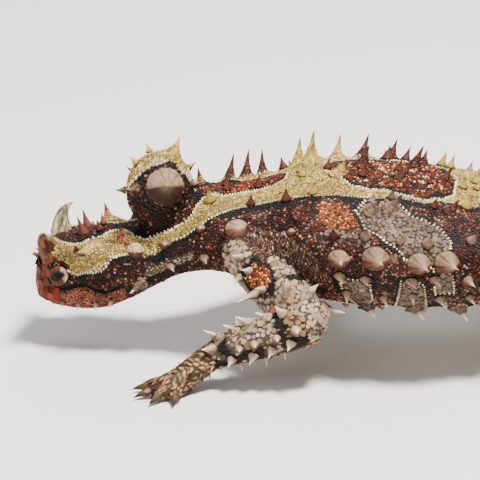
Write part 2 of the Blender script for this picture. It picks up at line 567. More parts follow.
def leg_spots(start, end, thick_start, thick_end, planes, draw):
    """Rows of spines on the upper and outer side of a length of leg, clear of its cuts."""
    along = (end - start).normalized()
    up = upward(along)
    side = along.cross(up)
    reach = (end - start).length
    count = max(2, round(reach / LEG_SPACING))
    for turn, size in LEG_ROWS:
        for k in range(count):
            u = (k + 0.5 + draw.uniform(-0.25, 0.25)) / count
            thick = (thick_start + (thick_end - thick_start) * u) * (1 + LIMB_SWELL * math.sin(math.pi * u))
            angle = math.radians(turn + draw.uniform(-8, 8))
            way = up * math.cos(angle) + side * math.sin(angle)
            root = start + along * (reach * u) + way * (thick * 0.97)
            grown = size * draw.uniform(0.75, 1.15) * (0.7 + 0.1 * thick)
            length, radius = LEG_SPINE * grown, LEG_SPINE_RADIUS * grown
            way = (way - along * 0.15).normalized()
            tip = root + way * length
            ends = ((root, CUT_CLEAR + radius), (tip, CUT_CLEAR))
            if any((p - point).dot(out) > -room for point, out in planes for p, room in ends):
                continue
            if near_trunk(root, radius) or near_trunk(tip, 0.1):
                continue
            yield root, way, length, radius


def all_spots():
    """Every spine of the body: kind, root, direction, length, base radius, lean."""
    none = Vector((0, 0, 0))
    for side in (LEFT, RIGHT):
        for number, (place, way, length, radius) in enumerate(HEAD_SPINES):
            if number == 0 and side == LEFT:
                way = NEAR_TEMPLE
            way = Vector(head_turn(on_side(way, side))).normalized()
            yield "head", Vector(head_place(on_side(place, side))), way, length, radius, none
    centre, size = Vector(KNOB_CENTRE), Vector(KNOB_SIZE)
    great = []
    for side in (LEFT, RIGHT):
        for way, length, radius in KNOB_SPINES:
            way = Vector(on_side(way, side)).normalized()
            great.append(way)
            yield "knob", centre + Vector([w * s for w, s in zip(way, size)]), way, length, radius, none
    for k in range(KNOB_PRICKLES):
        high = 0.97 - 1.05 * k / KNOB_PRICKLES
        turn = k * GOLDEN_ANGLE
        flat = math.sqrt(1 - high * high)
        way = Vector((flat * math.cos(turn), flat * math.sin(turn), high))
        if max(other.dot(way) for other in great) < PRICKLE_APART:
            root = centre + Vector([w * s for w, s in zip(way, size)])
            yield "knob", root, way, PRICKLE_LENGTH, PRICKLE_RADIUS, none
    for length in TRUNK_LENGTHS:
        for spot in trunk_spots(*length):
            yield "trunk", *spot
    for kind, side, root, bend, wrist, palm, _ in LEGS:
        upper_name = PART_NAMES[kind][0] + "_" + SIDE_NAMES[side]
        radii = LEG_RADII[kind]
        root, bend, wrist, palm = (Vector(p) for p in (root, bend, wrist, palm))
        before, after = (bend - root).normalized(), (wrist - bend).normalized()
        elbow_plane = (before + after).normalized()
        wrist_plane = (after + (palm - wrist).normalized()).normalized()
        draw = random.Random(upper_name)
        ends = ((root, bend, radii[0], radii[1]), (bend, wrist, radii[1], radii[3]))
        taken = []
        for number, share, degrees, lean, length, radius in LEG_SPINES:
            start, end, thick, thin = ends[number]
            along = (end - start).normalized()
            up = upward(along)
            angle = math.radians(-side * degrees)
            out = up * math.cos(angle) + along.cross(up) * math.sin(angle)
            reach = (thick + (thin - thick) * share) * (1 + LIMB_SWELL * math.sin(math.pi * share))
            spot = start + (end - start) * share + out * reach * 0.95
            if not near_trunk(spot, radius):
                taken.append((spot, radius))
                yield "leg", spot, (out + along * lean).normalized(), length, radius, along * 0.1
        planes = [(bend, -elbow_plane), (wrist, wrist_plane)]
        found = list(leg_spots(root, bend, radii[0], radii[1], [(bend, elbow_plane)], draw))
        found += leg_spots(bend, wrist, radii[1], radii[3], planes, draw)
        for spot, way, length, radius in found:
            if all((spot - other).length > (radius + wide) * 0.9 for other, wide in taken):
                yield "leg", spot, way, length, radius, none


# ---------------------------------------------------------------- places on the body


def segment_gap(points, start, end, thick_start, thick_end):
    """Distance to a tapered rod's surface, and how far along it each point is."""
    start, end = np.array(start, float), np.array(end, float)
    span = end - start
    u = np.clip((points - start) @ span / (span @ span), 0, 1)
    off = points - start - u[:, None] * span
    thick = (thick_start + (thick_end - thick_start) * u) * (1 + LIMB_SWELL * np.sin(np.pi * u))
    return np.linalg.norm(off, axis=1) - thick, u


_AXIS_STOPS = np.arange(TAIL_START - 6, TAIL_END + 0.01, 0.25)
_AXIS_POINTS = value(TRUNK, _AXIS_STOPS)[:, :3]


def trunk_distance(points):
    """How far along the trunk's axis each point is."""
    at = np.clip(points[:, 0], TRUNK_START, TAIL_END)
    behind = np.where(points[:, 0] > TAIL_START - 4)[0]
    for block in np.array_split(behind, max(1, len(behind) // 4000)):
        if len(block):
            off = points[block, None, :] - _AXIS_POINTS[None]
            near = _AXIS_STOPS[np.argmin((off**2).sum(-1), axis=1)]
            blend = np.clip((points[block, 0] - TAIL_START + 4) / 6, 0, 1)
            at[block] = points[block, 0] * (1 - blend) + near * blend
    return at


def round_section(table, power, points, at):
    """Angle round the section in degrees from the right-hand side, and distance outside it."""
    here, along, side, up = axes(table, at)
    width, above, below = value(table, at)[:, 3:6].T
    off = points - here
    across, high = (off * side).sum(1), (off * up).sum(1)
    tall = np.where(high > 0, above, below)
    level = (np.abs(across / width) ** power + np.abs(high / tall) ** power) ** (1 / power)
    ahead = np.abs((off * along).sum(1))
    angle = np.degrees(np.arctan2(high / tall, across / width))
    return angle, (level - 1) * np.minimum(width, tall) + np.maximum(ahead - 1.5, 0)


def side_and_rise(angle):
    """Side of the body, and degrees above its widest line, of angles round a section."""
    side = np.where(np.abs(angle) < 90, RIGHT, LEFT)
    return side, np.where(side == RIGHT, angle, np.where(angle > 0, 180 - angle, -180 - angle))


def locate(points):
    """For points near the skin: form, distance along it, degrees round it, side and flow."""
    points = np.asarray(points, float)
    count = len(points)
    at = trunk_distance(points)
    angle, best = round_section(TRUNK, TRUNK_POWER, points, at)
    best = best + np.maximum(HEAD_END - points[:, 0], 0)
    best = best + np.maximum(at - (TAIL_END - 0.1), 0)
    side, turn = side_and_rise(angle)
    found = [np.full(count, ON_TRUNK), at, turn, side, axes(TRUNK, at)[1]]

    def take(gap, *news, margin=0.0):
        """Gives the points that lie nearer to a form their form, distance, degrees, side and flow on it."""
        nonlocal best
        near = gap < best - margin
        best = np.where(near, gap, best)
        for k, new in enumerate(news):
            found[k] = np.where(near[:, None] if k == 4 else near, new, found[k])

    local = head_local(points)
    head_at = np.clip(local[:, 0], HEAD[0][0], HEAD_END)
    angle, gap = round_section(HEAD, HEAD_POWER, local, head_at)
    for centre, size in HEAD_SWELLS:
        for s in (LEFT, RIGHT):
            off = (local - on_side(centre, s)) / np.array(size)
            gap = np.minimum(gap, (np.linalg.norm(off, axis=1) - 1) * min(size))
    gap = gap + np.maximum(local[:, 0] - HEAD_END, 0) * 2
    head_side, rise = side_and_rise(angle)
    take(gap, ON_HEAD, head_at, rise, head_side, _NECK[1])

    off = (points - np.array(KNOB_CENTRE)) / np.array(KNOB_SIZE)
    level = np.linalg.norm(off, axis=1)
    take((level - 1) * 5.2, ON_KNOB, off[:, 2] / level, np.degrees(np.arctan2(off[:, 1], off[:, 0])),
         np.where(off[:, 1] > 0, RIGHT, LEFT), (0.3, 0.0, 1.0))

    for k, (kind, side, root, bend, wrist, palm, heading) in enumerate(LEGS):
        radii = LEG_RADII[kind]
        scale = PAW_SCALE[kind]
        for number, start, end, a, b in ((ON_UPPER, root, bend, *radii[:2]), (ON_LOWER, bend, wrist, *radii[1::2])):
            gap, u = segment_gap(points, start, end, a, b)
            way = unit(np.array(end, float) - np.array(start, float))
            up = unit(np.array((0, 0, 1.0)) - way * way[2])
            off = points - np.array(start, float)
            take(gap, number + k, u, np.degrees(np.arctan2(off @ np.cross(way, up), off @ up)), side, way)
        palm = np.array(palm, float)
        gap = segment_gap(points, wrist, palm, radii[3], 2.2 * scale)[0]
        ways = np.tile(heading_way(heading), (count, 1))
        reach = np.full(count, 9.0)
        for fan, length in TOES:
            way = heading_way(heading + fan)
            toe_gap = segment_gap(points, palm, palm + way * length * scale, 1.6 * scale, 0.9 * scale)[0]
            closer = toe_gap < reach
            reach = np.where(closer, toe_gap, reach)
            ways = np.where(closer[:, None], way, ways)
        off = points - palm
        take(np.minimum(gap, reach), ON_PAW + k, np.linalg.norm(off[:, :2], axis=1) / 8,
             np.degrees(np.arctan2(off[:, 1], off[:, 0])), side, ways, margin=0.2)
    return tuple(found)


# ---------------------------------------------------------------- markings


def read_line(line, at):
    """A line of distances and heights, read at distances."""
    return np.interp(at, *np.array(line, float).T)


def above_mouth(local):
    """How far points of the head's frame lie above the line of the mouth."""
    return local[:, 2] - read_line(MOUTH_LINE, local[:, 0])


def roll_at(from_top):
    """How far the markings are turned, at degrees from the top of the back."""
    return MARKING_ROLL * np.clip((60 - np.abs(from_top)) / 40, 0, 1)


def from_place(local, place):
    """Distance of points of the head's frame to a place, on the side where each point is."""
    return np.linalg.norm(local - np.array(place) * np.where(local[:, 1:2] > 0, (1, 1, 1), (1, -1, 1)), axis=1)


def width_of_degree(table, at):
    """Millimetres of skin to one degree round the section."""
    columns = value(table, at)
    return np.radians(1) * np.sqrt(columns[:, 3] * (columns[:, 4] + columns[:, 5]) / 2)


def outline_gap(points, corners):
    """Signed distance to a closed outline in a plane, less than nothing inside."""
    nearest = np.full(len(points), 1e9)
    inside = np.zeros(len(points), bool)
    for a, b in zip(corners, np.roll(corners, -1, axis=0)):
        span = b - a
        u = np.clip((points - a) @ span / max(span @ span, 1e-12), 0, 1)
        nearest = np.minimum(nearest, np.linalg.norm(points - a - u[:, None] * span, axis=1))
        crosses = (a[1] > points[:, 1]) != (b[1] > points[:, 1])
        slope = (b[0] - a[0]) / (b[1] - a[1] if b[1] != a[1] else 1e-9)
        inside ^= crosses & (points[:, 0] < a[0] + (points[:, 1] - a[1]) * slope)
    return np.where(inside, -nearest, nearest)


def laid_flat(outline, mirrored):
    """An outline's corners in millimetres: along, and round from the widest line or the top."""
    outline = np.array(outline, float)
    scale = width_of_degree(TRUNK, outline[:, 0])
    if not mirrored:
        return np.stack([outline[:, 0], outline[:, 1] * scale], 1)
    half = np.stack([outline[:, 0], (90 - outline[:, 1]) * scale], 1)
    return np.concatenate([half, half[::-1] * (1, -1)])


def trunk_kinds(points, at, turn, side):
    """Kinds of skin on neck, trunk and tail."""
    count = len(points)
    scale = width_of_degree(TRUNK, at)
    ragged = (cloud(points, 1.3, 3) - 0.5) * 1.1
    from_top = np.where(side == LEFT, 90 - turn, turn - 90)
    from_top = from_top + roll_at(from_top)
    rise = 90 - np.abs(from_top)
    kinds = np.full(count, BAND)
    under = (read_line(BAND_LOWER, at) - rise) * scale + ragged * 0.5

    blotch = cloud(points, 3.6, 11)
    fine = cloud(points, 1.1, 12)
    edge = np.clip(0.1 + 2.2 * (cloud(points, 2.4, 14) - 0.22), 0.25, 1.9)
    flank = under > 0
    kinds[flank] = np.where(blotch > 0.58, MIXED, DARK)[flank]
    kinds[flank & (fine > 0.76)] = RED
    sideways = np.stack([at, turn * scale], 1)
    rusty = outline_gap(sideways, laid_flat(RUSTY_PATCH, False)) + ragged
    kinds[flank & (rusty < 0)] = ORANGE
    kinds[flank & (under < edge + 0.3)] = BLACK
    kinds[flank & (turn < -26) & (blotch < 0.5)] = MIXED
    kinds[turn < BELLY_RISE] = BELLY
    kinds[(turn < BELLY_RISE) & (cloud(points, 4.0, 21) > 0.62)] = DARK

    flat = np.stack([at, from_top * scale], 1)
    streaks = cloud(points * (0.42, 1.5, 0.6), 1.15, 8)
    for k, outline in enumerate(DORSAL_PATCHES):
        gap = outline_gap(flat, laid_flat(outline, True)) + ragged * 0.35
        inner = RED if k else np.where(at < 24.4, DARK, RED)
        kinds = np.where(gap < 0, inner, kinds)
        kinds = np.where((gap < -1.2) & ((np.abs(streaks - 0.63) < 0.035) | (streaks < 0.2)), BLACK, kinds)
        kinds = np.where((gap < -1.4) & (np.abs(streaks - 0.70) < 0.02) & (k > 0), BEAD, kinds)
        kinds = np.where((gap < 0) & (gap > -edge), BLACK, kinds)
        kinds = np.where((gap > 0) & (gap < 0.3), BEAD, kinds)

    gap = outline_gap(sideways, laid_flat(PALE_ROW, False)) + ragged * 0.5
    kinds = np.where((gap < 0) & flank, GREY, kinds)
    for outline in FLANK_PATCHES:
        gap = outline_gap(sideways, laid_flat(outline, False)) + ragged * 0.6
        kinds = np.where(gap < 0, GREY, kinds)
        kinds = np.where((gap > 0) & (gap < edge) & (kinds != BAND) & (kinds != BEAD), BLACK, kinds)
    gap = outline_gap(sideways, laid_flat(SHOULDER_PATCH, False)) + ragged
    kinds = np.where((gap < 0) & (kinds != BAND), WRINKLE, kinds)
    kinds = np.where((gap > 0) & (gap < 0.8) & (turn > 0) & flank, DARK, kinds)
    kinds[(at < 26) & (turn < -12)] = DARK
    kinds[(at < 23.5) & (np.abs(turn + 8) < 9)] = LEG

    tail = at > RING_START
    ring = (at - RING_START) / RING_STEP
    share = ring - np.floor(ring) + (cloud(points, 2.0, 31) - 0.5) * 0.16
    rings = np.select([share < RING_PALE, share < 0.52, share < 0.9], [BAND, BLACK, RED], BLACK)
    kinds[tail] = rings[tail]
    kinds[tail & (turn < -35)] = BELLY
    return kinds


def head_kinds(points, at, turn):
    """Kinds of skin on the head."""
    scale = width_of_degree(HEAD, at)
    ragged = (cloud(points, 1.0, 5) - 0.5) * 0.9
    upper = (turn - read_line(HEAD_UPPER, at)) * scale + ragged * 0.5
    lower = (read_line(HEAD_LOWER, at) - turn) * scale + ragged * 0.5
    kinds = np.full(len(points), BAND)
    for past, edge in ((upper, 1.0), (lower, 0.5)):
        kinds[past > 0] = DARK
        kinds[(past > 0) & (past < edge)] = BLACK
        kinds[(past < 0) & (past > -0.3)] = BEAD
    kinds[(lower > 0.5) & (cloud(points, 1.4, 6) > 0.66)] = MIXED
    snout = at + ragged < np.interp(turn, (-90, 0, 30, 60, 90), (3.2, 3.2, 3.4, 3.0, 1.4))
    kinds[snout] = RUST
    local = head_local(points)
    height = above_mouth(local)
    jaw = (height < 0) & (at > 3.0) & (at < 14.5)
    kinds[jaw] = np.where((turn + ragged * 8 > -46) & (at > 5.0), JAW, RUST)[jaw]
    kinds[(height < 0) & (at >= 14.5)] = DARK
    stroke = outline_gap(np.stack([at, turn], 1) * (1, 0.11), np.array(SNOUT_STROKE))
    kinds[stroke < 0.25] = BLACK
    kinds[from_place(local, EYE_PLACE) < 2.1] = DARK
    kinds[from_place(local, EAR_PLACE) < 0.8] = BLACK
    kinds[(height > -0.3) & (height < 0.55) & (at > 4.6) & (at < 14.4)] = BLACK
    return kinds


def leg_kinds(points, form, at, turn):
    """Kinds of skin on the legs and paws."""
    patches = cloud(points, 3.4, 41)
    ragged = (cloud(points, 1.1, 42) - 0.5) * 0.5
    kinds = np.full(len(points), LEG)
    upper = (form >= ON_UPPER) & (form < ON_LOWER)
    lower = (form >= ON_LOWER) & (form < ON_PAW)
    front = turn * np.where((form - ON_UPPER) % 2 == 0, 1, -1)
    kinds[form >= ON_PAW] = HAND
    kinds[upper & (at < 0.34) & (front < 45)] = WRINKLE
    patch = np.hypot((at - 0.42) / 0.15, (front - 66) / 27) + ragged
    kinds[upper & (patch < 1.45)] = BLACK
    kinds[upper & (patch < 1.0)] = ORANGE
    kinds[upper & (np.abs(at - 0.62 + ragged * 0.1) < 0.05) & (front < 20)] = BLACK
    elbow = lower & (at < 0.2) & (np.abs(front + 70) < 75)
    kinds[elbow] = HAND
    kinds[lower & (np.abs(at - 0.24 + ragged * 0.12) < 0.045) & (patches > 0.35)] = BLACK
    kinds[lower & (np.abs(at - 0.84 + ragged * 0.12) < 0.04) & (patches > 0.4)] = BLACK
    kinds[lower & (front < -95) & (patches + ragged > 0.42)] = BLACK
    kinds[(form < ON_PAW) & (np.abs(turn) > 150)] = HAND
    return kinds


def knob_kinds(points):
    """Kinds of skin on the knob: pale on top, dark round its foot."""
    ragged = (cloud(points, 0.9, 51) - 0.5) * 0.8
    off = points - np.array(KNOB_CENTRE)
    ahead = off[:, 0] - 1.0
    arc = 3.7 - np.where(ahead < 0, 0.13, 0.25) * ahead**2
    level = 0.951 * off[:, 2] - 0.309 * np.abs(off[:, 1]) - arc + ragged
    kinds = np.where(level > 0, BAND, DARK)
    kinds = np.where((level < 0) & (level > -0.7), BLACK, kinds)
    return np.where((level > 0) & ((level < 0.4) | (cloud(points, 1.0, 52) > 0.7)), BEAD, kinds)


def kinds_of(points, places):
    """The kind of skin at each point."""
    form, at, turn, side, _ = places
    kinds = np.full(len(points), LEG)
    on = form == ON_TRUNK
    kinds[on] = trunk_kinds(points[on], at[on], turn[on], side[on])
    on = form == ON_HEAD
    kinds[on] = head_kinds(points[on], at[on], turn[on])
    on = form == ON_KNOB
    kinds[on] = knob_kinds(points[on])
    on = form >= ON_UPPER
    kinds[on] = leg_kinds(points[on], form[on], at[on], turn[on])
    return kinds


def linear(colour):
    """Linear values of an 8-bit sRGB colour."""
    return tuple((c / 255 / 12.92) if c < 11 else ((c / 255 + 0.055) / 1.055) ** 2.4 for c in colour)


def shade(*colour):
    """Linear values of an 8-bit sRGB colour, as an array."""
    return np.array(linear(colour))


def palette():
    """Linear colours of the kinds of skin, from the add-on's settings."""
    looks = bpy.context.scene.devil_colours
    return np.array([tuple(getattr(looks, kind)) for kind in KINDS])


# ---------------------------------------------------------------- mesh helpers


def deselect():
    """Leaves edit mode with nothing selected."""
    if bpy.context.object and bpy.context.object.mode != "OBJECT":
        bpy.ops.object.mode_set(mode="OBJECT")
    bpy.ops.object.select_all(action="DESELECT")


def select(things):
    """Selects these objects; the first is the active one."""
    deselect()
    for thing in things:
        thing.select_set(True)
    bpy.context.view_layer.objects.active = things[0]
    return things[0]


def coords(mesh):
    """A mesh's vertex places as rows."""
    found = np.empty(len(mesh.vertices) * 3)
    mesh.vertices.foreach_get("co", found)
    return found.reshape(-1, 3)


def set_coords(mesh, points):
    """Moves a mesh's vertices."""
    mesh.vertices.foreach_set("co", np.asarray(points, float).ravel())
    mesh.update()


def normals(mesh):
    """A mesh's vertex normals as rows."""
    found = np.empty(len(mesh.vertices) * 3, np.float32)
    mesh.vertex_normals.foreach_get("vector", found)
    return found.reshape(-1, 3).astype(float)


def rolled(rings, sides, shape):
    """A closed form rolled from a grid; shape(along, round) gives design points, both from 0 to 1."""
    deselect()
    bpy.ops.mesh.primitive_grid_add(x_subdivisions=sides, y_subdivisions=rings, size=2)
    thing = bpy.context.object
    flat = coords(thing.data)
    set_coords(thing.data, world(shape((flat[:, 1] + 1) / 2, (flat[:, 0] + 1) / 2)))
    bpy.ops.object.mode_set(mode="EDIT")
    bpy.ops.mesh.select_all(action="SELECT")
    bpy.ops.mesh.remove_doubles(threshold=1e-6)
    bpy.ops.mesh.fill_holes(sides=0)
    bpy.ops.mesh.normals_make_consistent(inside=False)
    bpy.ops.object.mode_set(mode="OBJECT")
    return thing


def ball(centre, size, place=None):
    """An ellipsoid."""

    def shape(along, turn):
        polar, azimuth = np.pi * along, 2 * np.pi * turn
        way = np.stack([np.sin(polar) * np.cos(azimuth), np.sin(polar) * np.sin(azimuth), np.cos(polar)], -1)
        points = np.array(centre) + way * np.array(size)
        return place(points) if place else points

    return rolled(14, 24, shape)


def steps_along(path):
    """Distance of each point of a path from its first."""
    return np.concatenate([[0], np.cumsum(np.linalg.norm(np.diff(path, axis=0), axis=1))])


def rod(path, radii, sides=20, rings=24):
    """A tapered rod along a few points, with rounded ends."""
    path, radii = np.array(path, float), np.array(radii, float)
    lengths = steps_along(path)
    first, last = radii[0], radii[-1]
    stops = np.linspace(-first, lengths[-1] + last, rings + 1)
    stops = np.unique(np.concatenate([stops, -first * np.array((0.995, 0.9, 0.7))]))
    stops = np.interp(np.linspace(0, 1, rings + 1), np.linspace(0, 1, len(stops)), stops)

    def point(at):
        """Points of the path at distances."""
        return np.stack([np.interp(at, lengths, path[:, k]) for k in range(3)], -1)

    def shape(along, turn):
        at = np.interp(along, np.linspace(0, 1, len(stops)), stops)
        inside = np.clip(at, 0, lengths[-1])
        ahead = unit(point(inside + 0.2) - point(inside - 0.2))
        thick = np.interp(inside, lengths, radii)
        past = np.where(at < 0, -at / first, np.where(at > lengths[-1], (at - lengths[-1]) / last, 0))
        past = np.clip(past, 0, 1)
        centre = point(inside) + ahead * (at - inside)[:, None]
        thick = thick * np.sqrt(np.maximum(1 - past**2, 0))
        across = unit(np.cross(ahead, (0.13, 0.21, 0.97)))
        up = np.cross(ahead, across)
        return centre + swung(across, up, 2 * np.pi * turn) * thick[:, None]

    return rolled(rings, sides, shape)


def joined(things, name):
    """One object of several."""
    select(things)
    bpy.ops.object.join()
    thing = bpy.context.object
    thing.name = thing.data.name = name
    return thing


def apply_modifier(thing, kind, **settings):
    """Adds a modifier, sets it up and applies it."""
    select([thing])
    step = thing.modifiers.new(kind.title(), kind)
    for key, setting in settings.items():
        setattr(step, key, setting)
    bpy.ops.object.modifier_apply(modifier=step.name)


def paint(mesh, colours):
    """Stores linear colours on a mesh's points."""
    layer = mesh.color_attributes.get("Colour") or mesh.color_attributes.new("Colour", "FLOAT_COLOR", "POINT")
    full = np.ones((len(colours), 4), np.float32)
    full[:, :3] = np.clip(colours, 0, 1)
    layer.data.foreach_set("color", full.ravel())


def finish_piece(thing, material, nodes=(), smooth=True):
    """Material, smooth or flat faces, body, record slot and the solids a piece stands for."""
    thing.data.materials.clear()
    thing.data.materials.append(bpy.data.materials[material])
    if smooth:
        thing.data.shade_smooth()
    else:
        thing.data.shade_flat()
    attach(thing, "root")
    if nodes:
        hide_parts(*nodes)
    return thing


class Pattern:
    """The mesh of one scale or spine, modelled once, that is copied over the skin."""

    def __init__(self, sides, rings, shape, shade):
        """A ball primitive whose rings from top to bottom are shaped by (row, turn)."""
        deselect()
        bpy.ops.mesh.primitive_uv_sphere_add(segments=sides, ring_count=rings, radius=1)
        thing = bpy.context.object
        bpy.ops.object.mode_set(mode="EDIT")
        bpy.ops.mesh.select_all(action="SELECT")
        bpy.ops.mesh.quads_convert_to_tris(quad_method="FIXED")
        bpy.ops.object.mode_set(mode="OBJECT")
        flat = coords(thing.data)
        row = np.rint(np.degrees(np.arccos(np.clip(flat[:, 2], -1, 1))) / 180 * rings).astype(int)
        turn = np.arctan2(flat[:, 1], flat[:, 0])
        self.points = np.array([shape(r, t) for r, t in zip(row, turn)])
        self.shades = np.array([shade[r] for r in row])
        self.faces = np.array([tuple(f.vertices) for f in thing.data.polygons])
        mesh = thing.data
        bpy.data.objects.remove(thing)
        bpy.data.meshes.remove(mesh)


class Coat:
    """Collects copies of patterns, then makes one mesh of them with its baking map."""

    def __init__(self):
        self.points, self.faces, self.colours, self.places = [], [], [], []
        self.count = 0

    def add(self, pattern, roots, ways, flows, sizes, colours, spots, bend=None, tips=None, unders=None):
        """Copies at roots, standing along ways and turned to flows; sizes are along, across, up."""
        roots, ways = np.asarray(roots, float), unit(ways)
        if len(roots) == 0:
            return
        flows = squared_to(flows, ways)
        across = np.cross(ways, flows)
        local = pattern.points[None] * np.asarray(sizes)[:, None, :]
        sideways = local[..., 0:1] * flows[:, None] + local[..., 1:2] * across[:, None]
        points = roots[:, None, :] + sideways + local[..., 2:3] * ways[:, None]
        if bend is not None:
            share = np.clip(pattern.points[:, 2], 0, None)[None, :, None]
            points = points + bend[:, None, :] * share**1.6
        shades = pattern.shades[None, :, None] * np.asarray(colours)[:, None, :]
        if unders is not None:
            side_high = sideways[..., 2:3] / np.asarray(sizes)[:, None, 1:2]
            below = np.clip((0.04 - side_high) / 0.08, 0, 1) * (ways[:, None, 2:3] < 0.72)
            shades = shades * (1 - below) + pattern.shades[None, :, None] * np.asarray(unders)[:, None, :] * below
        if tips is not None:
            share = np.clip((pattern.points[:, 2] - 0.42) / 0.5, 0, 1)[None, :, None]
            shades = shades * (1 - share) + np.asarray(tips)[:, None, :] * share
        number, size = len(roots), len(pattern.points)
        starts = self.count + np.arange(number)[:, None, None] * size
        self.faces.append((pattern.faces[None] + starts).reshape(-1, 3))
        self.points.append(points.reshape(-1, 3))
        self.colours.append(shades.reshape(-1, 3))
        patch = np.clip(pattern.points[:, :2] / 1.4, -1, 1) * 0.0015
        self.places.append((np.asarray(spots)[:, None, :] + patch[None]).reshape(-1, 2))
        self.count += number * size

    def mesh(self, name):
        """The object of all that was added."""
        points = world(np.concatenate(self.points))
        points[:, 2] = np.maximum(points[:, 2], COAT_FLOOR)
        faces = np.concatenate(self.faces)
        mesh = bpy.data.meshes.new(name)
        mesh.vertices.add(len(points))
        mesh.vertices.foreach_set("co", points.ravel())
        mesh.loops.add(len(faces) * 3)
        mesh.loops.foreach_set("vertex_index", faces.ravel().astype(np.int32))
        mesh.polygons.add(len(faces))
        mesh.polygons.foreach_set("loop_start", np.arange(0, len(faces) * 3, 3, dtype=np.int32))
        mesh.update(calc_edges=True)
        mesh.validate()
        paint(mesh, np.concatenate(self.colours))
        layer = mesh.uv_layers.new(name="OFBake")
        layer.data.foreach_set("uv", np.concatenate(self.places)[faces.ravel()].astype(np.float32).ravel())
        thing = bpy.data.objects.new(name, mesh)
        bpy.context.scene.collection.objects.link(thing)
        return thing


# ---------------------------------------------------------------- materials


ROUGHNESS_SPREAD = 0.12


def new_group(name, inputs, outputs):
    """An empty shader node group with its sockets and end nodes."""
    group = bpy.data.node_groups.new(name, "ShaderNodeTree")
    for label, kind, default in inputs:
        socket = group.interface.new_socket(label, in_out="INPUT", socket_type=kind)
        if default is not None:
            socket.default_value = default
    for label, kind in outputs:
        group.interface.new_socket(label, in_out="OUTPUT", socket_type=kind)
    return group, group.nodes.new("NodeGroupInput"), group.nodes.new("NodeGroupOutput")


def mottle_group():
    """Uneven colour: patches lighter and darker, and a fine grain, over any base colour."""
    group, start, end = new_group(
        "Mottled colour",
        [("Colour", "NodeSocketColor", (0.5, 0.5, 0.5, 1)), ("Strength", "NodeSocketFloat", 0.3),
         ("Patch scale", "NodeSocketFloat", 900.0), ("Grain scale", "NodeSocketFloat", 5000.0)],
        [("Colour", "NodeSocketColor"), ("Grain", "NodeSocketFloat")],
    )
    nodes, links = group.nodes, group.links
    where = nodes.new("ShaderNodeTexCoord")
    patches = nodes.new("ShaderNodeTexNoise")
    grain = nodes.new("ShaderNodeTexNoise")
    patches.inputs["Detail"].default_value = 3.0
    grain.inputs["Detail"].default_value = 2.0
    for node, socket in ((patches, "Patch scale"), (grain, "Grain scale")):
        links.new(where.outputs["Object"], node.inputs["Vector"])
        links.new(start.outputs[socket], node.inputs["Scale"])

    def maths(operation, *given):
        """The result of a math node fed with sockets and numbers."""
        node = nodes.new("ShaderNodeMath")
        node.operation = operation
        for socket, source in zip(node.inputs, given):
            if isinstance(source, float):
                socket.default_value = source
            else:
                links.new(source, socket)
        return node.outputs[0]

    both = maths("ADD", patches.outputs["Fac"], grain.outputs["Fac"])
    scaled = maths("MULTIPLY_ADD", maths("SUBTRACT", both, 1.0), start.outputs["Strength"], 1.0)
    tinted = nodes.new("ShaderNodeVectorMath")
    tinted.operation = "SCALE"
    links.new(start.outputs["Colour"], tinted.inputs[0])
    links.new(scaled, tinted.inputs["Scale"])
    links.new(tinted.outputs[0], end.inputs["Colour"])
    links.new(grain.outputs["Fac"], end.inputs["Grain"])
    return group


def coat_material(name, mottle, strength, roughness, bump, specular=0.35, patch=900.0, grain=5000.0):
    """A material that takes its colour from the piece's own colours, mottled, with fine bumps."""
    material = bpy.data.materials.new(name)
    material.use_nodes = True
    nodes, links = material.node_tree.nodes, material.node_tree.links
    surface = nodes["Principled BSDF"]
    own = nodes.new("ShaderNodeAttribute")
    own.attribute_name = "Colour"
    effect = nodes.new("ShaderNodeGroup")
    effect.node_tree = mottle
    effect.inputs["Strength"].default_value = strength
    effect.inputs["Patch scale"].default_value = patch
    effect.inputs["Grain scale"].default_value = grain
    links.new(own.outputs["Color"], effect.inputs["Colour"])
    links.new(effect.outputs["Colour"], surface.inputs["Base Color"])
    spread = nodes.new("ShaderNodeMapRange")
    spread.inputs["To Min"].default_value = roughness - ROUGHNESS_SPREAD
    spread.inputs["To Max"].default_value = roughness + ROUGHNESS_SPREAD
    links.new(effect.outputs["Grain"], spread.inputs["Value"])
    links.new(spread.outputs["Result"], surface.inputs["Roughness"])
    relief = nodes.new("ShaderNodeBump")
    relief.inputs["Strength"].default_value = 0.5
    relief.inputs["Distance"].default_value = bump
    links.new(effect.outputs["Grain"], relief.inputs["Height"])
    links.new(relief.outputs["Normal"], surface.inputs["Normal"])
    surface.inputs["Specular IOR Level"].default_value = specular
    return material


def make_materials():
    """All materials of the animal."""
    if "Devil skin" in bpy.data.materials:
        return
    mottle = mottle_group()
    coat_material("Devil skin", mottle, 0.5, 0.72, 0.00006, 0.25)
    coat_material("Scales", mottle, 0.6, 0.60, 0.00004, 0.22)
    coat_material("Horn", mottle, 1.1, 0.60, 0.00009, 0.22, 2400.0, 7000.0)
    eye = coat_material("Eye", mottle, 0.25, 0.22, 0.000002, 0.08).node_tree.nodes["Principled BSDF"]
    eye.inputs["Coat Weight"].default_value = 0.06
    eye.inputs["Coat Roughness"].default_value = 0.04


# ---------------------------------------------------------------- skin


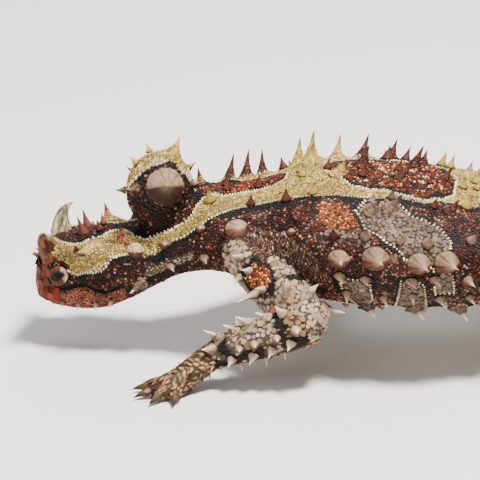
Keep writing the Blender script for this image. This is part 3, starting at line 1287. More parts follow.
def skin_forms(depth):
    """Closed forms of head, trunk, knob, legs and paws, sunk by the coat's depth."""
    forms = [
        rolled(260, 96, lambda along, turn: section(
            TRUNK, TRUNK_POWER, 14.5 + 147.4 * along, 2 * np.pi * turn, -depth)),
        rolled(60, 80, lambda along, turn: head_place(
            section(HEAD, HEAD_POWER, 0.12 + 16.9 * along, 2 * np.pi * turn, -depth))),
        ball(KNOB_CENTRE, [s - depth for s in KNOB_SIZE]),
    ]
    for side in (LEFT, RIGHT):
        for centre, size in HEAD_SWELLS:
            forms.append(ball(on_side(centre, side), [s - depth for s in size], head_place))
    for kind, _, root, bend, wrist, palm, heading in LEGS:
        radii = [r - depth for r in LEG_RADII[kind]]
        scale = PAW_SCALE[kind]
        for start, end, a, b in ((root, bend, radii[0], radii[1]), (bend, wrist, radii[1], radii[3])):
            start, end = np.array(start), np.array(end)
            stops = np.linspace(0, 1, 7)
            path = [start + (end - start) * u for u in stops]
            forms.append(rod(path, [(a + (b - a) * u) * (1 + LIMB_SWELL * math.sin(math.pi * u)) for u in stops]))
        palm = np.array(palm)
        ahead = heading_way(heading)
        forms.append(rod([wrist, palm], (radii[3], 2.1 * scale - depth)))
        forms.append(rod([palm, palm + ahead * 1.3 * scale], (2.35 * scale - depth, 1.9 * scale - depth)))
        for fan, reach in TOES:
            way = heading_way(heading + fan)
            pad = reach * scale
            toe = [palm + way * at for at in (0.2 * pad, 0.65 * pad, 1.02 * pad)]
            for point, high in zip(toe, (1.3, 1.2, 0.95)):
                point[2] = high
            forms.append(rod(toe, [r * scale for r in (1.0, 0.9, 0.6)], 14, 14))
    return forms


def carve_head(mesh):
    """Mouth line, lips, nostrils, ears and eye sockets pressed into the skin of the head."""
    points, out = design(coords(mesh)), normals(mesh)
    local = head_local(points)
    on = (local[:, 0] < 16.5) & (np.abs(local[:, 1]) < 8.5) & (local[:, 2] < 18) & (points[:, 0] < 18)
    height = above_mouth(local)
    reach = np.clip((14.4 - local[:, 0]) / 1.2, 0, 1) * (np.abs(local[:, 1]) + (3.0 - local[:, 0]).clip(0) > 0.5)
    reach = reach * np.clip((local[:, 0] - 0.4) / 3.0, 0.12, 1)
    move = -0.55 * bump(height, 0.34) * reach
    for level in (0.85, -0.8):
        move += 0.30 * bump(height - level, 0.45) * reach
    for s in (LEFT, RIGHT):
        eye, ear, nostril = (np.linalg.norm(local - on_side(place, s), axis=1)
                             for place in (EYE_PLACE, EAR_PLACE, NOSTRIL_PLACE))
        move -= 0.9 * bump(eye, 1.25, 4)
        move -= 0.5 * bump(ear, 0.6, 4)
        move += 0.22 * bump(nostril - 0.75, 0.3) - 0.7 * bump(nostril, 0.42, 4)
    points = points + out * (move * on)[:, None]
    set_coords(mesh, world(points))


def drop_brow(points):
    """How far the front of the crown lies under the solids, at points of the head's frame."""
    return BROW_DROP * bump(points[..., 0] - 4.5, 4) * np.clip((points[..., 2] - 12.8) / 2.5, 0, 1)


def raise_flares(mesh, spots):
    """Draws the skin up round the foot of each large spine, and folds the shoulders' skin."""
    points = design(coords(mesh))
    lift = np.zeros_like(points)
    for part, root, way, length, radius, _ in spots:
        root, way = np.array(tuple(root)), np.array(tuple(way))
        if radius < LARGE_SPINE or disc_like(part, root, way, radius):
            continue
        near = np.where(np.abs(points - root).max(1) < 2.6 * radius)[0]
        off = points[near] - root
        axial = off @ way
        lateral = np.linalg.norm(off - axial[:, None] * way, axis=1)
        high = 0.34 * length * bump(lateral, 0.92 * radius, 1.5) * (np.abs(axial) < 2.2)
        better = high > np.linalg.norm(lift[near], axis=1)
        lift[near[better]] = high[better, None] * way
    points = points + lift
    turn = locate(points)[2]
    for _, side, root, *_ in LEGS:
        away = np.linalg.norm((points - np.array(root)) * (1, 0.35, 1), axis=1)
        folds = np.clip(1.6 - away / 6.5, 0, 1) * (points[:, 1] * side > 3) * (turn < 36)
        points = points + normals(mesh) * (0.13 * np.sin(away * 2 * np.pi / 0.95) * folds)[:, None]
    set_coords(mesh, world(points))


def disc_like(part, root, way, radius):
    """Whether a spine is one of the low round cones that keep a crisp edge."""
    flank = part == "trunk" and abs(way[2]) < FLANK_TILT and root[0] < FLANK_END
    return flank or (part == "knob" and radius > 2) or (part == "head" and radius == HEAD_DISC)


def make_skin(voxel, depth, spots):
    """The one skin under the coat."""
    skin = joined(skin_forms(depth), "skin")
    apply_modifier(skin, "REMESH", mode="VOXEL", voxel_size=voxel * MM)
    apply_modifier(skin, "SMOOTH", factor=0.5, iterations=4)
    points = design(coords(skin.data))
    points[:, 2] -= drop_brow(head_local(points))
    set_coords(skin.data, world(points))
    raise_flares(skin.data, spots)
    centres = np.empty(len(skin.data.polygons) * 3)
    skin.data.polygons.foreach_get("center", centres)
    centre = head_local(design(centres.reshape(-1, 3)))
    on_head = (centre[:, 0] < 15.5) & (centre[:, 2] < 17.8)
    select([skin])
    bpy.ops.object.mode_set(mode="EDIT")
    bpy.ops.mesh.select_all(action="DESELECT")
    bpy.ops.object.mode_set(mode="OBJECT")
    skin.data.polygons.foreach_set("select", on_head)
    bpy.ops.object.mode_set(mode="EDIT")
    bpy.ops.mesh.select_mode(type="FACE")
    bpy.ops.mesh.subdivide(number_cuts=1, smoothness=0.0)
    bpy.ops.object.mode_set(mode="OBJECT")
    carve_head(skin.data)
    points = coords(skin.data)
    points[:, 2] = np.maximum(points[:, 2], SKIN_FLOOR)
    set_coords(skin.data, points)
    points = design(points)
    places = locate(points)
    kinds = kinds_of(points, places)
    tones = palette()[kinds] * (np.array(GAP_TONES)[kinds] * (0.7 + 0.6 * cloud(points, 1.0, 61)))[:, None]
    paint(skin.data, tones)
    return finish_piece(skin, "Devil skin", FLESH)


# ---------------------------------------------------------------- scales


def bead_rows():
    """Places of the pale pointed scales that edge the markings, and which way they point."""
    found, points_to = [], []

    def row(table, power, outline, spacing, shift, closed=False, aim=0.0):
        """Equal steps along an outline of distances and degrees, on both sides."""
        outline = np.array(outline, float)
        flat = np.stack([outline[:, 0], outline[:, 1] * width_of_degree(table, outline[:, 0])], 1)
        middle = flat.mean(0)
        if closed:
            flat = np.concatenate([flat, flat[:1]])
        lengths = steps_along(flat)
        steps = np.arange(0, lengths[-1], spacing)
        at = np.interp(steps, lengths, flat[:, 0])
        off = np.interp(steps, lengths, flat[:, 1])
        ahead = np.stack([at, off], 1) - middle if closed else np.tile((0.0, aim), (len(at), 1))
        ahead = unit(ahead) * 0.5
        ends = []
        for move in (np.zeros_like(ahead), ahead):
            place = at + move[:, 0]
            rise = (off + shift + move[:, 1]) / width_of_degree(table, at)
            pair = []
            for side in (LEFT, RIGHT):
                turned = rise - side * (roll_at(90 - rise) if table is TRUNK else 0)
                angle = np.radians(turned if side == RIGHT else 180 - turned)
                spot = section(table, power, place, angle, -0.15 if table is TRUNK else 0.0)
                pair.append(head_place(spot) if table is HEAD else spot)
            keep = (at > 17.4) | (table is HEAD)
            ends.append(np.concatenate([spot[keep] for spot in pair]))
        found.append(ends[0])
        points_to.append(ends[1] - ends[0])

    for outline in DORSAL_PATCHES:
        row(TRUNK, TRUNK_POWER, outline, BEAD_SPACING, -0.15, aim=1.0)
    row(TRUNK, TRUNK_POWER, BAND_LOWER, BEAD_SPACING, 0.15, aim=-1.0)
    for outline in FLANK_PATCHES:
        row(TRUNK, TRUNK_POWER, outline, FLANK_BEAD_SPACING, 0.0, closed=True)
    row(HEAD, HEAD_POWER, HEAD_UPPER, 0.40, -0.15, aim=1.0)
    row(HEAD, HEAD_POWER, HEAD_LOWER, 0.42, 0.15, aim=-1.0)
    return np.concatenate(found), np.concatenate(points_to)


def scale_sizes(places, kinds):
    """How wide the scales are at these places."""
    form, at, _, _, _ = places
    sizes = np.array(SCALE_SIZES)[kinds]
    for there, kind, size in (
        (form == ON_HEAD, BAND, 0.33), (form == ON_TRUNK, BEAD, 0.34), (form == ON_TRUNK, LEG, 0.42),
        (form == ON_KNOB, DARK, 0.54), ((form >= ON_UPPER) & (form < ON_LOWER), LEG, 0.62),
    ):
        sizes = np.where(there & (kinds == kind), size, sizes)
    tail_sizes = np.minimum(sizes, 0.30 + 0.12 * (TAIL_END - at) / 20)
    return np.where((form == ON_TRUNK) & (at > TAIL_START), tail_sizes, sizes)


def scatter(skin, spots, beads):
    """Roots of all scales: the beads first, then as many as fit, none inside a spine's foot."""
    mesh = skin.data
    mesh.calc_loop_triangles()
    corner = np.empty(len(mesh.loop_triangles) * 3, np.int32)
    mesh.loop_triangles.foreach_get("vertices", corner)
    corner = corner.reshape(-1, 3)
    points, out = design(coords(mesh)), normals(mesh)
    a, b, c = (points[corner[:, k]] for k in range(3))
    area = np.linalg.norm(np.cross(b - a, c - a), axis=1) / 2
    middles = (a + b + c) / 3
    places = locate(middles)
    weight = area / scale_sizes(places, kinds_of(middles, places)) ** 2
    draw = np.random.default_rng(11)
    count = int(weight.sum() * TRIES)
    pick = draw.choice(len(area), count, p=weight / weight.sum())
    u, v = draw.random(count), draw.random(count)
    flip = u + v > 1
    u, v = np.where(flip, 1 - u, u), np.where(flip, 1 - v, v)
    w = 1 - u - v
    roots = a[pick] * w[:, None] + b[pick] * u[:, None] + c[pick] * v[:, None]
    ways = out[corner[pick, 0]] * w[:, None] + out[corner[pick, 1]] * u[:, None] + out[corner[pick, 2]] * v[:, None]
    tree = BVHTree.FromPolygons([tuple(p) for p in points], corner.tolist())
    on, up, aims = [], [], []
    for bead, aim in zip(*beads):
        hit, normal, _, away = tree.find_nearest(Vector(bead))
        if away < BEAD_REACH:
            on.append(tuple(hit))
            up.append(tuple(normal))
            aims.append(aim)
    roots = np.concatenate([np.array(on), roots])
    ways = unit(np.concatenate([np.array(up), ways]))
    is_bead = np.arange(len(roots)) < len(on)
    form, at, turn, side, flow = locate(roots)
    flow = flow.copy()
    flow[: len(on)] = np.array(aims)
    places = form, at, turn, side, flow
    kinds = kinds_of(roots, places)
    kinds[is_bead] = BEAD
    chance = draw.random(len(roots))
    varied = np.select([is_bead, np.isin(kinds, (LEG, GREY))], [0.70 + 0.42 * chance, 0.66 + 0.85 * chance**2],
                       0.82 + 0.34 * chance)
    sizes = scale_sizes(places, kinds) * varied
    sizes[is_bead & (form == ON_TRUNK)] *= 1.25
    shoulder = kinds == WRINKLE
    for _, leg_side, root, *_ in LEGS:
        near = shoulder & (side == leg_side) & (np.abs(roots[:, 0] - root[0]) < 20)
        flow[near] = np.cross(ways[near], roots[near] - np.array(root))
    local = head_local(roots)
    height = above_mouth(local)
    shut = (form == ON_HEAD) & (np.abs(height) < 0.26) & (local[:, 0] < 14.3)
    for s in (LEFT, RIGHT):
        for place, room in ((EYE_PLACE, 1.6), (NOSTRIL_PLACE, 0.5), (EAR_PLACE, 0.5)):
            shut |= np.linalg.norm(local - on_side(place, s), axis=1) < room
    shut |= roots[:, 2] + OFFSET[2] < SOLE_CLEAR
    feet = {}
    for part, root, way, _, radius, _ in spots:
        share = 0.98 if radius < LARGE_SPINE or disc_like(part, root, way, radius) else 0.66
        for i in np.ndindex(5, 5, 5):
            key = tuple(int(math.floor(root[k])) + i[k] - 2 for k in range(3))
            feet.setdefault(key, []).append((root[0], root[1], root[2], radius * share))
    cells = np.floor(roots).astype(int).tolist()
    fine = np.floor(roots / 0.8).astype(int).tolist()
    near = [(i, j, k) for i in (-1, 0, 1) for j in (-1, 0, 1) for k in (-1, 0, 1)]
    keep, taken = [], {}
    roots_list, sizes_list, shut_list = roots.tolist(), sizes.tolist(), shut.tolist()
    for n, (x, y, z) in enumerate(roots_list):
        if shut_list[n]:
            continue
        size = sizes_list[n]
        i, j, k = cells[n]
        if any((x - p) ** 2 + (y - q) ** 2 + (z - r) ** 2 < (wide + FOOT_ROOM * size) ** 2
               for p, q, r, wide in feet.get((i, j, k), ())):
            continue
        i, j, k = fine[n]
        clear = True
        for di, dj, dk in near:
            for p, q, r, wide in taken.get((i + di, j + dj, k + dk), ()):
                if (x - p) ** 2 + (y - q) ** 2 + (z - r) ** 2 < (CLOSENESS * (size + wide)) ** 2:
                    clear = False
                    break
            if not clear:
                break
        if clear:
            taken.setdefault((i, j, k), []).append((x, y, z, size))
            keep.append(n)
    keep = np.array(keep)
    feet_roots, feet_ways, feet_sizes, feet_kinds = climbing(spots)
    feet_places = locate(feet_roots)
    roots = np.concatenate([roots[keep], feet_roots])
    ways = np.concatenate([ways[keep], feet_ways])
    sizes = np.concatenate([sizes[keep], feet_sizes])
    kinds = np.concatenate([kinds[keep], feet_kinds])
    places = tuple(np.concatenate([p[keep], q]) for p, q in zip(places, feet_places))
    return roots, ways, sizes, kinds, places, np.concatenate([is_bead[keep], np.zeros(len(feet_roots), bool)])


def creamy(places, kinds):
    """Which spines of the back stand in the pale cross bands and are pale themselves."""
    form, at, turn, side, _ = places
    crosses = (at < 27) | ((at > 36.8) & (at < 45.6)) | ((at > 59.3) & (at < 66.5))
    rings = (at > RING_START) & (np.mod((at - RING_START) / RING_STEP, 1) < RING_PALE)
    pale = np.isin(kinds, (BAND, BEAD, BLACK, DARK)) & ~((kinds == DARK) & (turn < 50))
    pale |= (side == LEFT) & (at > 43) & (at < 44.5)
    return (form == ON_TRUNK) & (turn > 40) & ((crosses & pale) | rings)


def climbing(spots):
    """Rings of scales up the foot of each large spine, and round the rim of each disc."""
    at_root = np.array([tuple(spot[1]) for spot in spots])
    places = locate(at_root)
    root_kinds = kinds_of(at_root, places)
    back = (places[0] == ON_TRUNK) & (places[2] > 40)
    own = (places[3] == LEFT) & ((root_kinds == GREY) | ((places[1] > 49) & (places[1] < 56) & (root_kinds == BAND)))
    root_kinds[back & ~own] = DARK
    root_kinds[creamy(places, root_kinds)] = BAND
    root_kinds[(places[0] == ON_HEAD) & (places[2] < 8)] = GREY
    root_kinds[[spot[0] == "head" and spot[4] == CROWN_SPINE for spot in spots]] = JAW
    root_kinds[(places[0] == ON_KNOB) & np.isin(root_kinds, (BEAD, BLACK))] = BAND
    draw = np.random.default_rng(17)
    heights, widths = np.array(CONE[:-1][::-1]).T
    roots, ways, sizes, kinds = [], [], [], []
    for (part, root, way, length, radius, lean), kind in zip(spots, root_kinds):
        if radius < LARGE_SPINE:
            continue
        root, way, lean = np.array(tuple(root)), np.array(tuple(way)), np.array(tuple(lean)) * length
        across = unit(np.cross(way, (1.0, 0.0, 0.0) if abs(way[0]) < 0.8 else (0.0, 1.0, 0.0)))
        over = np.cross(way, across)
        size = 0.44 if part == "leg" or kind == GREY else 0.32
        if disc_like(part, root, way, radius):
            rings = ((0.0, 1.05),) if part == "knob" else ()
            kind = MIXED
        else:
            step = RING_SPACING * size / math.hypot(length, radius)
            levels = np.arange(0.02, CLIMB_TOPS[part], step * 1.15)
            rings = tuple(zip(levels, np.interp(levels, heights, widths)))
        for ring, (high, wide) in enumerate(rings):
            number = max(6, int(2 * math.pi * wide * radius / (0.86 * size)))
            turn = 2 * np.pi * (np.arange(number) + 0.5 * (ring % 2) + draw.uniform(-0.2, 0.2, number)) / number
            out = swung(across, over, turn)
            slope = (np.interp(high - 0.03, heights, widths) - np.interp(high + 0.03, heights, widths)) / 0.06
            roots.append(root + way * high * length + lean * high**1.6 + out * wide * radius * 0.92)
            ways.append(unit(out + way * (slope * radius / length)))
            sizes.append(np.full(number, size * (1 - 0.35 * high)) * draw.uniform(0.85, 1.15, number))
            kinds.append(np.full(number, kind))
    return np.concatenate(roots), np.concatenate(ways), np.concatenate(sizes), np.concatenate(kinds)


def unwrap(places):
    """Where a root lies on a flat unwrap of its own form, from 0 to 1 both ways."""
    form, at, turn, side, _ = places
    along = np.where(form == ON_HEAD, at / 17, np.where(form == ON_TRUNK, (at - 13) / 150, 0.5 + 0.5 * at))
    around = np.where(side == LEFT, 0.25 + turn / 360 * 0.9, 0.75 + turn / 360 * 0.9)
    legs = form >= ON_UPPER
    slot = (form - ON_UPPER) % 4
    around = np.where(legs | (form == ON_KNOB), (turn + 180) / 360, around)
    along = np.where(legs, (slot + np.clip(at, 0, 1) * 0.9 + 0.05) / 4, along)
    return np.stack([0.02 + 0.96 * np.clip(along, 0, 1), 0.02 + 0.96 * np.clip(around, 0, 1)], 1)


def stretched(spots, along):
    """Spreads the unwrap's first direction over the whole map for one piece."""
    low, high = along.min(), max(along.max(), along.min() + 1e-6)
    return np.stack([0.02 + 0.96 * (along - low) / (high - low), spots[:, 1]], 1)


def patterns():
    """The few scales that are copied: grain, flat plate, edge point, keeled leaf and small spike."""

    def rounded(rows, uneven=0.0, turns=3):
        """A scale whose rows give width, height and shift, from the top down."""

        def shape(row, turn):
            wide, high, shift = rows[row]
            wide = wide * (1 + uneven * math.cos(turns * turn + 0.6))
            return (wide * math.cos(turn) + shift, wide * math.sin(turn), high)

        return shape

    def leaf(row, turn):
        wide, high, shift = ((0, 1.0, 1.15), (0.55, 0.5, 0.35), (1.0, -0.12, 0), (0, -0.5, 0))[row]
        reach = math.cos(turn)
        stretch = 1.35 if reach > 0 else 0.9
        narrow = 1.0 - 0.45 * max(reach, 0)
        lift = 0.25 * max(reach, 0) if row == 1 else 0
        return (wide * reach * stretch + shift, wide * math.sin(turn) * narrow, high + lift)

    grain = ((0, 1.0, 0), (0.66, 0.74, 0), (1.0, -0.15, 0), (0, -0.5, 0))
    plate = ((0, 1.0, 0.15), (0.86, 0.86, 0.03), (1.02, -0.2, 0), (0, -0.6, 0))
    point = ((0, 1.0, 0.95), (0.58, 0.62, 0.25), (0.95, -0.15, 0), (0, -0.5, 0))
    spike = ((0, 3.4, 1.1), (0.34, 1.5, 0.35), (0.95, -0.15, 0), (0, -0.5, 0))
    return {
        "grain": Pattern(5, 3, rounded(grain, 0.08), (1.15, 1.0, 0.34, 0.2)),
        "plate": Pattern(6, 3, rounded(plate, 0.10), (1.16, 0.98, 0.26, 0.2)),
        "bead": Pattern(5, 3, rounded(point), (1.08, 1.0, 0.6, 0.3)),
        "leaf": Pattern(6, 3, leaf, (1.25, 1.0, 0.32, 0.2)),
        "spike": Pattern(5, 3, rounded(spike), (1.5, 1.15, 0.5, 0.3)),
    }


COAT_PIECES = (
    ("scales_head", lambda f, at: f == ON_HEAD),
    ("scales_neck", lambda f, at: ((f == ON_TRUNK) & (at < 31)) | (f == ON_KNOB)),
    ("scales_shoulders", lambda f, at: (f == ON_TRUNK) & (at >= 31) & (at < 41)),
    ("scales_back_front", lambda f, at: (f == ON_TRUNK) & (at >= 41) & (at < 49)),
    ("scales_back_middle", lambda f, at: (f == ON_TRUNK) & (at >= 49) & (at < 57)),
    ("scales_back_rear", lambda f, at: (f == ON_TRUNK) & (at >= 57) & (at < 66)),
    ("scales_hips", lambda f, at: (f == ON_TRUNK) & (at >= 66) & (at < 86)),
    ("scales_tail", lambda f, at: (f == ON_TRUNK) & (at >= 86)),
    ("scales_fore_legs", lambda f, at: (f >= ON_UPPER) & ((f - ON_UPPER) % 4 < 2)),
    ("scales_hind_legs", lambda f, at: (f >= ON_UPPER) & ((f - ON_UPPER) % 4 >= 2)),
)


def make_scales(skin, spots):
    """The coat of scales, in pieces by part of the body."""
    roots, ways, sizes, kinds, places, is_bead = scatter(skin, spots, bead_rows())
    form, at, turn, _, flow = places
    count = len(roots)
    draw = np.random.default_rng(23)
    colours = palette()
    light = np.exp(np.clip(draw.normal(0, 1, count), -1.7, 1.3) * np.array(UNEVENNESS)[kinds])
    tones = colours[kinds]
    odd, done = draw.random(count), np.zeros(count, bool)
    for kind, share, other in STRAYS:
        pick = (kinds == kind) & (odd < share) & ~done
        tones[pick] = colours[other]
        done |= pick
    broad = 0.60 + 0.75 * cloud(roots * (0.6, 1.0, 1.0), 1.5, 91)
    tones = tones * (light * broad)[:, None] * (1 + 0.14 * (draw.random((count, 3)) - 0.5))
    heights = np.array(SCALE_HEIGHTS)[kinds] * sizes
    paw = form >= ON_PAW
    chance = draw.random(count)
    styles = np.where(np.isin(kinds, (GREY, LEG, RUST, BELLY, HAND)), "plate", "grain").astype("<U5")
    styles[(paw | ((form >= ON_LOWER) & (chance < 0.45))) & ~is_bead] = "leaf"
    styles[(kinds == BEAD) & (is_bead | (form != ON_TRUNK))] = "bead"
    styles[(kinds == LEG) & (form == ON_TRUNK)] = "bead"
    for kind, share in SPIKE_SHARES.items():
        styles[(kinds == kind) & (draw.random(count) < share) & (turn < 40)] = "spike"
    spin = draw.uniform(-np.pi, np.pi, count) * np.isin(styles, ("grain", "plate")) * (kinds != WRINKLE)
    flow = squared_to(flow, ways)
    facing = swung(flow, np.cross(ways, flow), spin)
    grow = np.select([styles == "plate", styles == "grain"], [1.46, 1.16], 1.05)
    long = grow * np.select([styles == "leaf", kinds == WRINKLE], [1.45, 1.5], 1.0)
    wide = grow * np.where(kinds == WRINKLE, 0.85, 1.0)
    lean = np.select([styles == "leaf", styles == "spike", styles == "bead"], [0.35, 0.45, 0.3], 0.0)
    spread = unwrap(places)
    made = patterns()
    for name, chosen in COAT_PIECES:
        on = chosen(form, at)
        coat = Coat()
        local = np.zeros((count, 2))
        local[on] = stretched(spread[on], spread[on, 0])
        for style, pattern in made.items():
            pick = on & (styles == style)
            half = sizes[pick] / 2
            size = np.stack([half * long[pick], half * wide[pick], heights[pick]], 1)
            stand = ways[pick] + flow[pick] * lean[pick, None]
            coat.add(pattern, roots[pick], stand, facing[pick], size, tones[pick], local[pick])
        finish_piece(coat.mesh(name), "Scales", smooth=False)


# ---------------------------------------------------------------- spines, horns, claws


def spine_pattern(sides, profile, shades, ridge):
    """A hollow-sided cone with fine ridges; profile rows are height and radius from the tip down."""

    def shape(row, turn):
        high, wide = profile[row]
        wide = wide * (1 + ridge * math.cos(turn * sides / 2))
        return (wide * math.cos(turn), wide * math.sin(turn), high)

    return Pattern(sides, len(profile) - 1, shape, shades)


def make_spines(spots):
    """Every spine of head, knob, trunk, tail and legs."""
    tall = spine_pattern(14, CONE, CONE_SHADES, 0.05)
    disc = spine_pattern(44, DISC, DISC_SHADES, 0.02)
    spokes = np.arctan2(disc.points[:, 1], disc.points[:, 0])
    reach = np.linalg.norm(disc.points[:, :2], axis=1)
    disc.points[:, :2] *= (1 + 0.022 * np.cos(3 * spokes + 1) + 0.018 * np.cos(5 * spokes))[:, None]
    cracks = np.maximum(np.cos(spokes * 7 + 3 * np.sin(spokes * 2)), np.cos(spokes * 11 + 1)) > 0.86
    disc.shades = disc.shades * np.where(cracks & (reach > 0.1) & (reach < 0.95), 0.45, 1.0)
    small = spine_pattern(8, SMALL, SMALL_SHADES, 0.05)
    roots, ways, leans = (np.array([tuple(spot[k]) for spot in spots]) for k in (1, 2, 5))
    lengths, radii = (np.array([spot[k] for spot in spots]) for k in (3, 4))
    parts = np.array([spot[0] for spot in spots])
    flat_disc = np.array([disc_like(part, r, w, size) for part, r, w, size in zip(parts, roots, ways, radii)])
    places = locate(roots)
    form, at, turn, side, flow = places
    kinds = kinds_of(roots, places)
    colours = palette()
    brown, pale, white = shade(84, 42, 30), shade(186, 158, 132), shade(236, 222, 196)
    cream, olive, plate = colours[BAND], shade(140, 118, 70), shade(134, 108, 84)
    count = len(roots)
    lengths = lengths * np.where(flat_disc, np.where(parts == "knob", KNOB_DISC_HEIGHT, DISC_HEIGHT), 1.0)
    leans = leans + np.where(flat_disc & (parts == "trunk"), 0.5, 0.0)[:, None] * np.array((0.9, 0.0, -0.5))
    layers = [np.tile(colour, (count, 1)) for colour in (shade(132, 104, 84), shade(36, 18, 14), shade(70, 28, 18))]
    on_head = form == ON_HEAD
    back = (form == ON_TRUNK) & (turn > 40) & ~flat_disc
    left_back = back & (side == LEFT)
    # Which spines, then their colour, tip and underside where these change; the later rows win
    looks = (
        (back, brown, None, None),
        (creamy(places, kinds) & ~flat_disc, cream * 0.9, shade(88, 56, 36), None),
        (left_back & (kinds == GREY), colours[GREY] * 1.2, None, None),
        (left_back & (kinds == BAND) & (at > 49) & (at < 56), olive * 1.1, None, None),
        (on_head, brown * 1.5, shade(70, 38, 24), None),
        (on_head & (((kinds == BAND) & (side == LEFT)) | (radii == HEAD_DISC)), olive * 1.3, None, None),
        (on_head & (radii == CROWN_SPINE), shade(118, 70, 40), None, None),
        ((form == ON_KNOB) & (roots[:, 2] > KNOB_CENTRE[2] + 1.5) & (radii < 2), cream, pale, None),
        (flat_disc, plate, plate, None),
        (flat_disc & (parts == "trunk"), None, pale, shade(88, 46, 30)),
        (flat_disc & (parts == "knob"), None, None, shade(46, 17, 11)),
        (flat_disc & (parts == "head"), shade(188, 168, 118), None, None),
        (((form == ON_TRUNK) & (turn < -20)) | (on_head & (turn < 8)), shade(132, 106, 92), white, shade(104, 74, 60)),
        (form >= ON_UPPER, shade(178, 152, 128), white, shade(120, 92, 74)),
    )
    for there, *given in looks:
        for layer, colour in zip(layers, given):
            if colour is not None:
                layer[there] = colour
    tones, tips, unders = layers
    draw = np.random.default_rng(31)
    tones = tones * (0.85 + 0.3 * draw.random(count))[:, None]
    flat = unwrap(places)
    bend = leans * lengths[:, None]
    large = radii > LARGE_SPINE
    sets = (("spines_tall", tall, large & ~flat_disc), ("spines_broad", disc, large & flat_disc),
            ("spines_small", small, ~large))
    for name, pattern, pick in sets:
        coat = Coat()
        squash = np.where(flat_disc & (parts == "trunk"), 0.74 + 0.2 * draw.random(count), 1.0)[pick]
        size = np.stack([radii[pick], radii[pick] * squash, lengths[pick]], 1)
        coat.add(pattern, roots[pick], ways[pick], flow[pick] + 0.01, size, tones[pick], flat[pick], bend[pick],
                 tips[pick], unders[pick])
        finish_piece(coat.mesh(name), "Horn")


def make_horns():
    """The two great brow horns: broad feet, hooked back to a thin tip, ridged lengthwise."""
    warm, cool, stripe = shade(90, 43, 15), shade(150, 134, 98), shade(50, 36, 28)
    tip, edging = shade(46, 26, 18), shade(58, 16, 12)
    for side in (LEFT, RIGHT):
        path = np.array(HORN_PATH) * (1, side, 1)
        stops = steps_along(path)
        curve = [np.polynomial.Polynomial.fit(stops, path[:, k], 3) for k in range(3)]

        def shape(along, turn):
            at = (0.04 + 0.96 * along) * stops[-1]
            centre = np.stack([line(at) for line in curve], -1)
            ahead = unit(np.stack([line.deriv()(at) for line in curve], -1))
            radius = np.interp(at, stops, HORN_RADII)
            angle = 2 * np.pi * turn
            radius = radius * (1 + 0.035 * np.cos(angle * 11) + 0.06 * np.cos(2 * angle))
            across = unit(np.cross(ahead, (1.0, 0.0, 0.0)))
            up = np.cross(ahead, across)
            return head_place(centre + swung(across, up, angle) * radius[:, None])

        horn = rolled(40, 44, shape)
        horn.name = horn.data.name = "brow_horn_" + SIDE_NAMES[side]
        points = head_local(design(coords(horn.data)))
        out = normals(horn.data)
        lateral = out @ _NECK[2] * side
        share = np.clip(np.linalg.norm(points - path[0], axis=1) / stops[-1], 0, 1)
        facing = np.clip(lateral * 1.6 + 0.2, 0, 1)[:, None]
        tones = cool * (1 - facing) + warm * facing
        line = bump(out @ _NECK[1] - 0.25, 0.2) * (lateral < 0.3)
        tones = tones * (1 - line[:, None] * 0.8) + stripe * line[:, None] * 0.8
        axis = unit(path[-1] - path[0])
        streaks = cloud(points - 0.85 * (points @ axis)[:, None] * axis, 0.30, 71)[:, None]
        tones = tones * np.clip(3.2 * streaks - 0.65, 0.22, 1.8)
        rim = np.clip((out @ _NECK[1] - 0.55) / 0.25, 0, 1)[:, None] * facing
        tones = tones * (1 - rim * 0.75) + edging * rim * 0.75
        ends = np.clip((share - 0.72) / 0.28, 0, 1)[:, None] ** 1.5
        tones = tones * (1 - ends) + tip * ends
        paint(horn.data, tones)
        finish_piece(horn, "Horn", ["horn_" + SIDE_NAMES[side]])


def make_claws():
    """A dark curved claw at the end of every toe."""
    coat = Coat()
    roots, ways, sizes = [], [], []
    for kind, *_, palm, heading in LEGS:
        scale = PAW_SCALE[kind]
        for fan, reach in TOES:
            way = heading_way(heading + fan)
            start = np.array(palm) + way * reach * scale * 0.98
            start[2] = CLAW_HEIGHT
            roots.append(start)
            ways.append(way + np.array((0, 0, 0.10)))
            sizes.append((0.66 * scale, 0.58 * scale, CLAW_LENGTH * 0.80))
    count = len(roots)
    flows, bends, tones, tips = (
        np.tile(row, (count, 1)) for row in ((0.0, 0.0, 1.0), (0.0, 0.0, -0.75), shade(70, 54, 38), shade(20, 16, 14)))
    spots = np.stack([np.linspace(0.05, 0.95, count), np.full(count, 0.5)], 1)
    coat.add(spine_pattern(10, CLAW, CLAW_SHADES, 0.03), roots, ways, flows, sizes, tones, spots, bends, tips)
    finish_piece(coat.mesh("claws"), "Horn")


# ---------------------------------------------------------------- eyes


